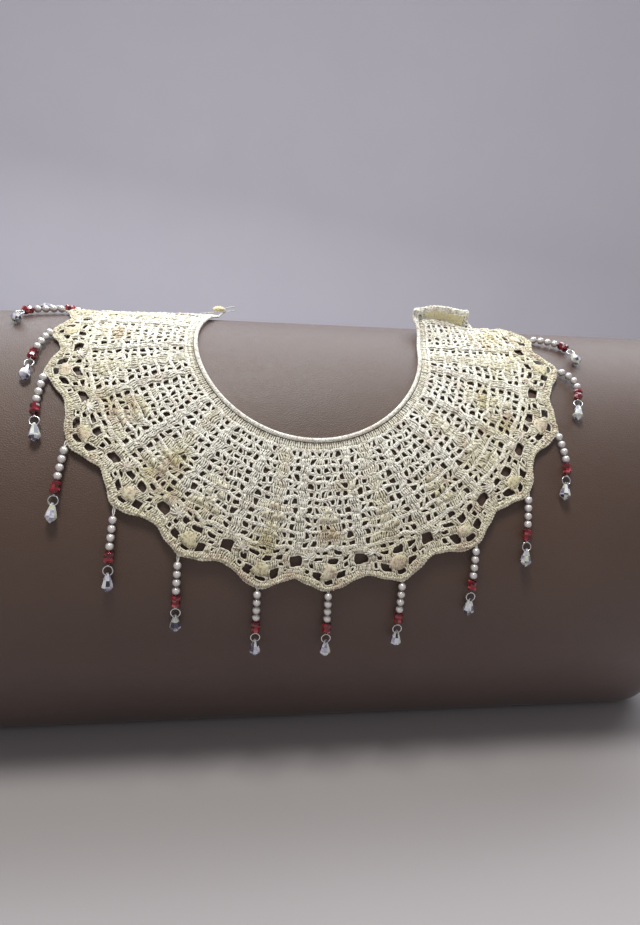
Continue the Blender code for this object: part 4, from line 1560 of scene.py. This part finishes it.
@dataclass
class NeckEdge:
    """The neck cord, which tapers to a strand at the left, its knob and the thread loop behind it."""

    form: CollarForm
    band_radius: float = 0.0025
    cord_radius: float = 0.0016
    end_cord_radius: float = 0.0027
    cord_inset: float = 0.0002
    strand_radius: float = 0.0009
    strand_scallops: float = 0.22
    strand_rise: float = 0.0032
    taper_scallops: float = 0.8
    wrap_pitch: float = 0.0016
    wrap_steps: int = 5
    rim_end: float = 0.190
    rim_fades: Pair = (0.148, 0.042)
    rim_end_radius: float = 0.0008
    rim_height: float = 0.0009
    rim_steps: int = 90
    lining_pitch: float = 0.0013
    lining_radius: float = 0.00085
    lining_height: float = 0.0017
    lining_steps: int = 60
    button_length: float = 0.0105
    button_thick: float = 0.0054
    button_shift: float = 0.0035
    button_sink: float = 0.0008
    button_ply: float = 0.00062
    button_turns: float = 7.5
    button_steps: int = 300
    tail_steps: int = 14
    loop_radius: float = 0.0048
    loop_thread: float = 0.0007
    loop_ply: float = 0.00038
    loop_ply_offset: float = 0.00032
    loop_steps: int = 90
    loop_half_turn: float = math.radians(150)
    loop_setback: float = 0.0075
    loop_sink: float = 0.0007
    loop_lean: float = 1.8
    seam_gap: float = 0.0004

    def point(self, v: float, inset: float = 0.0) -> Array:
        """Middle of the neckband at v, or of the strand that leads off its left end.

        Args:
            v: Scallop tips counted from the left end.
            inset: How far it is moved in.

        Returns:
            The point.
        """
        eased = float(smooth(v / self.taper_scallops))
        radius = self.strand_radius + (self.band_radius - self.strand_radius) * eased
        drawn = self.form.neck_radius + self.band_radius - radius - inset * eased
        if v < 0.0:
            side, rise = self.form.flat(v, drawn)
            lift = float(self.form.lift(0.0, self.form.neck_radius)) + radius
            return self.form.cushion.drape(side, rise, lift + self.strand_rise * -v / self.strand_scallops)
        return self.form.points(v, drawn, radius)

    def cord(self, material: bpy.types.Material) -> bpy.types.Object:
        """The slim bright cord: two plies wound round each other.

        Args:
            material: The finish.

        Returns:
            The cord's object.
        """
        last = float(self.form.scallops)
        length = (last + self.strand_scallops) * self.form.width(self.form.neck_radius)
        steps = round(length / self.wrap_pitch) * self.wrap_steps + 1
        v = np.linspace(-self.strand_scallops, last, steps)
        path = np.array([self.point(float(x), self.cord_inset) for x in v])
        eased = smooth(v / self.taper_scallops)
        radius = self.strand_radius + (self.cord_radius - self.strand_radius) * eased
        radius = radius + (self.end_cord_radius - self.cord_radius) * smooth((v - last + 0.7) / 0.4)
        along = unit(np.gradient(path, axis=0))
        up = self.form.outward(np.maximum(v, 0.0), np.full(steps, self.form.neck_radius))
        across = unit(np.cross(along, up))
        over = np.cross(across, along)
        batch = MeshBatch()
        for phase in (0.0, math.pi):
            twist = (np.arange(steps) * (math.pi / self.wrap_steps) + phase)[:, None]
            ply = path + (across * np.cos(twist) + over * np.sin(twist)) * (radius * 0.45)[:, None]
            batch.tubes(ply[None], up[None], (radius * 0.66)[None], 7, Yarn.WHITE.value)
        batch.tubes(path[None], up[None], (radius * 0.6)[None], 6, Yarn.CREAM.value)
        self.rim(batch)
        return seat(batch.build("neck_cord", material), "cotton_band", "neckband")

    def rim(self, batch: MeshBatch) -> None:
        """The cord's last stretch, which leaves the neck and runs out along the rolled right end.

        Args:
            batch: The mesh to add to.
        """
        drawn = np.linspace(self.form.neck_radius + 0.001, self.rim_end, self.rim_steps)
        fade = smooth((drawn - self.rim_fades[0]) / self.rim_fades[1])
        wide = self.end_cord_radius + (self.rim_end_radius - self.end_cord_radius) * fade
        wide = wide * (1.0 + 0.10 * np.cos(np.arange(self.rim_steps) * 1.7))
        place = float(self.form.scallops) - wide / self.form.width(drawn)
        path = self.form.points(place, drawn, self.rim_height)
        batch.tubes(path[None], self.form.outward(place, drawn)[None], wide[None], 10, Yarn.WHITE.value)

    def lining(self, material: bpy.types.Material) -> bpy.types.Object:
        """The plain face of the rolled right end, painted yellow for the shade there lit through the cotton.

        Args:
            material: The finish.

        Returns:
            The lining's object.
        """
        last = float(self.form.scallops)
        drawn = np.linspace(self.form.neck_radius + 0.011, self.rim_fades[0], self.lining_steps)
        place = np.arange(self.form.roll_start + 0.15, last - 0.08, self.lining_pitch / self.form.width(0.12))
        v, radius = np.meshgrid(place, drawn, indexing="ij")
        swell = self.lining_radius * (1 + 0.12 * np.cos(radius * 4000.0 + v * 90.0))
        batch = MeshBatch()
        batch.tubes(self.form.points(v, radius, self.lining_height), self.form.outward(v, radius), swell, 6,
                    Yarn.ROLL_PAINTED_YELLOW_LIGHT.value)
        return seat(batch.build("end_lining", material), "cotton_button")

    def button(self, cotton: bpy.types.Material, thread: bpy.types.Material) -> None:
        """The oblong knob, wound with yarn, and its thread tails.

        Args:
            cotton: The knob's finish.
            thread: The tails' finish.
        """
        raise_by = self.strand_radius + self.seam_gap + self.button_thick / 2 - self.button_sink
        centre = self.point(-self.strand_scallops) + np.array([-self.button_shift, 0.0, raise_by])
        half = np.array([self.button_length, self.button_thick, self.button_thick]) / 2
        core = half - self.button_ply
        share = np.linspace(0.03, 0.97, self.button_steps)
        around = share * self.button_turns * 2 * math.pi
        polar = math.pi * share
        wide = np.sin(polar)
        local = np.stack([-np.cos(polar), wide * np.cos(around), wide * np.sin(around)], axis=-1)
        path = centre + local * core
        swell = self.button_ply * (1.0 + 0.15 * np.sin(around * 5))
        upright = np.array([0.0, 0.0, 1.0])
        batch = MeshBatch()
        batch.tubes(path[None], unit(local)[None], swell[None], 6, Yarn.KNOB.value)
        ends = np.linspace(-0.98, 0.98, 11)
        axis = centre + np.stack([ends * core[0], 0 * ends, 0 * ends], axis=-1)
        batch.tubes(axis[None], upright, (core[1] * np.sqrt(1 - ends ** 2))[None], 12, Yarn.KNOB_CORE.value)
        tails = MeshBatch()
        t = np.linspace(0.0, 1.0, self.tail_steps)[:, None]
        for *tail, wide in TAILS:
            start, bend, end = (np.array(point) for point in tail)
            bowed = (1 - t) ** 2 * start + 2 * t * (1 - t) * bend + t ** 2 * end
            tails.tubes((centre + bowed)[None], upright, wide, 6, Yarn.WHITE.value)
        seat(batch.build("neck_knob", cotton), "cotton_button", "neck_button")
        seat(tails.build("thread_tails", thread), "thread")

    def loop(self, material: bpy.types.Material) -> None:
        """The thread loop behind the rolled right corner, two plies twisted together.

        Args:
            material: The finish.
        """
        last = float(self.form.scallops)
        end = self.point(last)
        across = unit(end - self.point(last - self.form.slope_step))
        back = unit(self.form.points(last, self.form.neck_radius, 0.0) - end)
        away = unit(back + np.cross(back, across) * self.loop_lean)
        behind = self.band_radius + self.seam_gap + self.loop_thread - self.loop_sink
        root = end - across * self.loop_setback + back * behind
        middle = root - away * self.loop_radius * math.cos(self.loop_half_turn)
        turn = np.linspace(-self.loop_half_turn, self.loop_half_turn, self.loop_steps)[:, None]
        radial = away * np.cos(turn) + across * np.sin(turn)
        normal = unit(np.cross(away, across))
        batch = MeshBatch()
        for phase in (0.0, math.pi):
            twist = np.arange(len(turn))[:, None] * 0.9 + phase
            beside = self.loop_ply_offset * (radial * np.cos(twist) + normal * np.sin(twist))
            strand = middle + self.loop_radius * radial + beside
            batch.tubes(strand[None], normal, self.loop_ply, 6, Yarn.WHITE.value)
        seat(batch.build("thread_loop", material), "thread", "neck_loop")


# Side outlines of the beads, from end to end, as shares of their (length, radius)
PEARL_SHAPE = tuple((-math.cos(a), math.sin(a)) for a in np.linspace(0.12, math.pi - 0.12, 12))
RED_SHAPE = ((-0.98, 0.50), (-0.72, 0.96), (-0.38, 1.0), (-0.02, 0.82), (0.02, 0.82), (0.38, 1.0),
             (0.72, 0.96), (0.98, 0.50))
SEED_SHAPE = ((-0.5, 0.5), (-0.2, 1.0), (0.2, 1.0), (0.5, 0.5))
DROP_SHAPE = ((-0.10, 0.20), (0.02, 0.40), (0.30, 0.72), (0.60, 0.97), (0.70, 1.0), (0.86, 0.62),
              (1.0, 0.07))


@dataclass
class BeadString:
    """One dangle: a doubled thread, four pearls, a red bead, a seed bead, a wire ring and a drop."""

    form: CollarForm
    index: int
    pearls: int = 4
    pearl_radius: float = 0.00305
    red_radius: float = 0.0036
    red_length: float = 0.0094
    seed_radius: float = 0.0011
    seed_length: float = 0.0010
    ring_length: float = 0.0062
    drop_length: float = 0.0130
    drop_radius: float = 0.0042
    border_thick: float = 0.0022
    thread_radius: float = 0.0006
    thread_ply: float = 0.00042
    thread_bow: float = 0.0007
    thread_start: float = -0.0012
    thread_steps: int = 24
    wire_radius: float = 0.00048
    ring_overlap: float = 0.0003
    ring_shift: float = 0.0004
    ring_steps: int = 24
    pearl_sides: int = 20
    facets: int = 8
    lift_end: float = 0.0046
    lift_ease: float = 0.006
    turn_spread: float = 0.5
    tip_clearance: float = 0.0006
    step: float = 0.001

    def length(self) -> float:
        """Length of the whole string."""
        beads = self.pearls * 2 * self.pearl_radius + self.red_length + self.seed_length
        return DANGLES[self.index].thread + beads + self.ring_length + self.drop_length

    def route(self) -> Array:
        """Places of the string about every millimetre, from just off the scallop's tip.

        Returns:
            The places as rows.
        """
        row = DANGLES[self.index]
        v = float(self.index)
        side, rise = (float(x) for x in self.form.flat(v, self.form.tip_radius))
        tip_angle = math.radians(row.tip_deg)
        side += math.sin(tip_angle) * self.tip_clearance
        rise -= math.cos(tip_angle) * self.tip_clearance
        start = float(self.form.lift(v, self.form.tip_radius)) + self.border_thick / 2 + self.thread_radius
        length = self.length()
        steps = math.ceil(length / self.step)
        found = [self.form.cushion.drape(side, rise, start)]
        for k in range(steps):
            blend = float(smooth(((k + 0.5) / steps - row.turn) / self.turn_spread + 0.5))
            heading = math.radians(row.heading_start * (1.0 - blend) + row.heading_end * blend)
            side += math.sin(heading) * length / steps
            rise -= math.cos(heading) * length / steps
            eased = float(smooth((k + 1) / steps * length / self.lift_ease))
            found.append(self.form.cushion.drape(side, rise, start + (self.lift_end - start) * eased))
        return np.array(found)

    def at(self, route: Array, along: float) -> tuple[Array, Array]:
        """The point this far along the string, and the string's direction there.

        Args:
            route: Places of the string.
            along: Length along the string, from its start.

        Returns:
            The point and the direction.
        """
        place = np.clip(along / self.length() * (len(route) - 1), 0, len(route) - 1.001)
        k = int(place)
        ahead, behind = route[min(k + 2, len(route) - 1)], route[max(k - 1, 0)]
        return route[k] + (route[k + 1] - route[k]) * (place - k), unit(ahead - behind)

    def lathe(self, batch: MeshBatch, spot: tuple[Array, Array], shape: Sequence[Pair], size: Pair,
              sides: int, turn: float | None = None) -> None:
        """Add a turned or cut shape on the string.

        Args:
            batch: The mesh to add to.
            spot: The point that the shape's lengths start from, and the string's direction there.
            shape: Its side outline as shares of (length, radius).
            size: The length and the radius that those shares are of.
            sides: Number of sides.
            turn: How far a cut shape is turned about the axis, or None for a smooth shape. Each facet
            of a cut shape is an even face with a painted flash of its own, a painted reflection.
        """
        centre, axis = spot
        guide = np.array([0.0, 0.0, 1.0]) if abs(axis[2]) < 0.8 else np.array([0.0, 1.0, 0.0])
        across = unit(np.cross(axis, guide))
        over = np.cross(across, axis)
        angle = np.arange(sides) * (2 * math.pi / sides) + (turn or 0.0)
        ring = across * np.cos(angle)[:, None] + over * np.sin(angle)[:, None]
        places, radii = (np.array([row[k] for row in shape]) * size[k] for k in range(2))
        points = centre + axis * places[:, None, None] + ring[None] * radii[:, None, None]
        index = np.arange(len(shape) * sides).reshape(len(shape), sides)
        faces = quads(index[:-1], index[1:])
        if turn is None:
            batch.add(points, [faces, index[:1], index[-1:, ::-1]], 0.0)
            return
        # Painted reflections: a random flash value for each facet.
        facet_painted_flashes = np.random.default_rng(SEED + self.index).random(len(faces))
        single = points.reshape(-1, 3)[faces]
        batch.add(single, [np.arange(single.shape[0] * 4).reshape(-1, 4)], np.repeat(facet_painted_flashes, 4))
        ends = np.stack([index[0], index[-1, ::-1]])
        batch.add(points.reshape(-1, 3)[ends], [np.arange(2 * sides).reshape(2, sides)], 0.5)

    def build(self, finishes: dict[str, bpy.types.Material]) -> None:
        """Make and dress the string's pieces, with the materials that finishes holds by slot.

        Args:
            finishes: The materials by slot.
        """
        route = self.route()
        name = f"dangle_{self.index:02d}"
        pearls, red, drop, wire, thread = (MeshBatch() for _ in range(5))
        along = DANGLES[self.index].thread
        self.thread(thread, route, along)
        for _ in range(self.pearls):
            self.lathe(pearls, self.at(route, along + self.pearl_radius), PEARL_SHAPE,
                       (self.pearl_radius, self.pearl_radius), self.pearl_sides)
            along += 2 * self.pearl_radius
        self.lathe(red, self.at(route, along + self.red_length / 2), RED_SHAPE,
                   (self.red_length / 2, self.red_radius), self.facets, 0.4 * self.index)
        along += self.red_length
        self.lathe(wire, self.at(route, along + self.seed_length / 2), SEED_SHAPE,
                   (self.seed_length, self.seed_radius), 10)
        along += self.seed_length
        self.ring(wire, route, along)
        along += self.ring_length
        self.lathe(drop, self.at(route, along), DROP_SHAPE, (self.drop_length, self.drop_radius),
                   self.facets, 0.3 + 0.7 * self.index)
        seat(pearls.build(f"{name}_pearls", finishes["pearl_bead"]), "pearl_bead", name)
        for batch, label, slot, even in ((red, "red_bead", "red_bead", False),
                                         (wire, "ring", "silver_wire", True),
                                         (drop, "drop", "clear_crystal", False),
                                         (thread, "thread", "thread", True)):
            seat(batch.build(f"{name}_{label}", finishes[slot], even), slot)

    def thread(self, batch: MeshBatch, route: Array, length: float) -> None:
        """The doubled thread from the scallop's tip to the first pearl, and on through the beads.

        Args:
            batch: The mesh to add to.
            route: Places of the string.
            length: Length of bare thread.
        """
        reach = length + 2 * self.pearls * self.pearl_radius + self.red_length + self.seed_length
        places = np.linspace(self.thread_start, reach, self.thread_steps)
        first = self.at(route, 0.0)[1]
        path = np.array([self.at(route, max(p, 0.0))[0] + min(p, 0.0) * first for p in places])
        along = unit(np.gradient(path, axis=0))
        across = unit(np.cross(along, np.array([0.3, -1.0, 0.4])))
        for side in (-1.0, 1.0):
            share = np.clip((places - self.thread_start) / (length + 0.002), 0, 1)
            bow = side * self.thread_bow * np.sin(math.pi * share)
            batch.tubes((path + across * bow[:, None])[None], np.array([0.1, 0.2, 1.0]), self.thread_ply, 6,
                        Yarn.THREAD.value)

    def ring(self, batch: MeshBatch, route: Array, along: float) -> None:
        """The wire ring that carries the drop, facing out of the cushion.

        Args:
            batch: The mesh to add to.
            route: Places of the string.
            along: Length along the string, from its start.
        """
        centre, axis = self.at(route, along + self.ring_length / 2 + self.ring_shift)
        on_front = centre[2] - self.form.cushion.bulge_height < 0.12
        out = np.array([0.0, -1.0, 0.35]) if on_front else np.array([0.0, -0.35, 1.0])
        across = unit(np.cross(axis, out))
        turn = np.linspace(0, 2 * math.pi, self.ring_steps + 1)[:-1]
        ring = np.outer(np.cos(turn), axis) + np.outer(np.sin(turn), across)
        path = centre + (self.ring_length / 2 + self.ring_overlap) * ring
        batch.tubes(path[None], np.cross(across, axis), self.wire_radius, 8, closed=True)


@dataclass(frozen=True)
class SoftLight:
    """One soft oblong light."""

    name: str
    place: Point
    aim: Point
    size: Pair
    power: float
    colour: Colour


LIGHTS = (
    SoftLight("back_strip", (0.25, 0.70, 1.55), (0.1, -0.02, 0.3), (3.6, 0.9), 48.0, (0.86, 0.93, 1.0)),
    SoftLight("ceiling_light", (-0.15, -0.30, 1.7), (0.0, -0.05, 0.2), (0.4, 0.4), 16.5, (1.0, 0.99, 0.96)),
)


@dataclass
class Studio:
    """Floor, wall, light and the camera at the photograph's angle."""

    camera_place: Point = (-0.07402, -0.5554, 0.4157)
    turn_deg: float = 9.055
    roll_deg: float = 3.665
    pitch_deg: float = 18.0
    focal_px: float = 665.0
    long_side_px: float = 925.0
    sensor_mm: float = 36.0
    floor_size: float = 6.0
    floor_height: float = -0.0004
    floor_colour: Colour = (0.38, 0.35, 0.35)
    wall_behind: float = 2.4
    wall_colour: Colour = (0.90, 0.87, 0.965)
    backdrop: Colour = (0.96, 0.96, 1.0)
    backdrop_strength: float = 0.35

    def camera(self) -> None:
        """The camera, placed and turned as the photograph was taken."""
        turn, pitch, roll = (math.radians(x) for x in (self.turn_deg, self.pitch_deg, self.roll_deg))
        forward = Vector((math.sin(turn) * math.cos(pitch), math.cos(turn) * math.cos(pitch),
                          -math.sin(pitch)))
        right = Vector((math.cos(turn), -math.sin(turn), 0.0))
        up = right.cross(forward)
        right_rolled = math.cos(roll) * right + math.sin(roll) * up
        up_rolled = -math.sin(roll) * right + math.cos(roll) * up
        data = bpy.data.cameras.new("photo_camera")
        data.sensor_width = self.sensor_mm
        data.lens = self.focal_px / self.long_side_px * self.sensor_mm
        data.clip_start = 0.01
        made = bpy.data.objects.new("photo_camera", data)
        made.matrix_world = Matrix.Translation(self.camera_place) @ Matrix(
            (right_rolled, up_rolled, -forward)).transposed().to_4x4()
        bpy.context.scene.collection.objects.link(made)
        bpy.context.scene.camera = made

    def light(self, kind: SoftLight) -> None:
        """Place one soft light, which the camera doesn't see.

        Args:
            kind: The light to place.
        """
        data = bpy.data.lights.new(kind.name, "AREA")
        data.shape = "RECTANGLE"
        data.size, data.size_y = kind.size
        data.energy = kind.power
        data.color = kind.colour
        made = bpy.data.objects.new(kind.name, data)
        made.location = kind.place
        made.rotation_mode = "QUATERNION"
        made.rotation_quaternion = (Vector(kind.aim) - Vector(kind.place)).to_track_quat("-Z", "Y")
        made.visible_camera = False
        bpy.context.scene.collection.objects.link(made)

    def plane(self, name: str, corners: Sequence[Point], colour: Colour) -> None:
        """One plain surface of the set.

        Args:
            name: Its name.
            corners: Its four corners.
            colour: Its colour.
        """
        batch = MeshBatch()
        batch.add(np.array(corners), [np.array([[0, 1, 2, 3]])], 0.0)
        batch.build(name, PlainFinish(name, colour).material())

    def surroundings(self) -> None:
        """The plain pale floor, and the plain wall behind it."""
        half, low, back = self.floor_size / 2, self.floor_height, self.wall_behind
        for name, start, end, colour in (("pale_floor", (-half, low), (back, low), self.floor_colour),
                                         ("pale_wall", (back, low), (back, half), self.wall_colour)):
            self.plane(name, ((-half, *start), (half, *start), (half, *end), (-half, *end)), colour)

    def build(self) -> None:
        """Set up everything round the object."""
        self.camera()
        self.surroundings()
        for kind in LIGHTS:
            self.light(kind)
        world = bpy.data.worlds.new("studio")
        world.use_nodes = True
        shade = world.node_tree.nodes["Background"]
        shade.inputs["Color"].default_value = (*self.backdrop, 1.0)
        shade.inputs["Strength"].default_value = self.backdrop_strength
        bpy.context.scene.world = world
        bpy.context.scene.view_settings.view_transform = "Standard"


def main() -> None:
    """Build the studio, the cushion, the collar and its bead strings, in that order."""
    logging.basicConfig(level=logging.INFO, format="%(name)s %(message)s")
    rng = np.random.default_rng(SEED)
    cushion_form = CushionForm()
    collar = CollarForm(cushion_form)
    Studio().build()
    cushion = BackCushion(cushion_form).build()
    cloth = LaceCloth(collar, rng)
    ground, stitches = cloth.build()
    neck = NeckEdge(collar)
    thread, yellow = THREAD.material(), PALE_YELLOW.material()
    cord = neck.cord(BAND.material())
    neck.button(yellow, thread)
    lining = neck.lining(yellow)
    neck.loop(thread)
    finishes = {
        "pearl_bead": PearlFinish().material(),
        "red_bead": GlassFinish("red_bead", RED_GLASS_PAINTED_GLINTS, 0.25, 0.07).material(),
        "clear_crystal": GlassFinish("clear_crystal", CRYSTAL_PAINTED_FLASHES).material(),
        "silver_wire": WireFinish().material(),
        "thread": thread,
    }
    for index in range(len(DANGLES)):
        BeadString(collar, index).build(finishes)


if __name__ == "__main__":
    main()
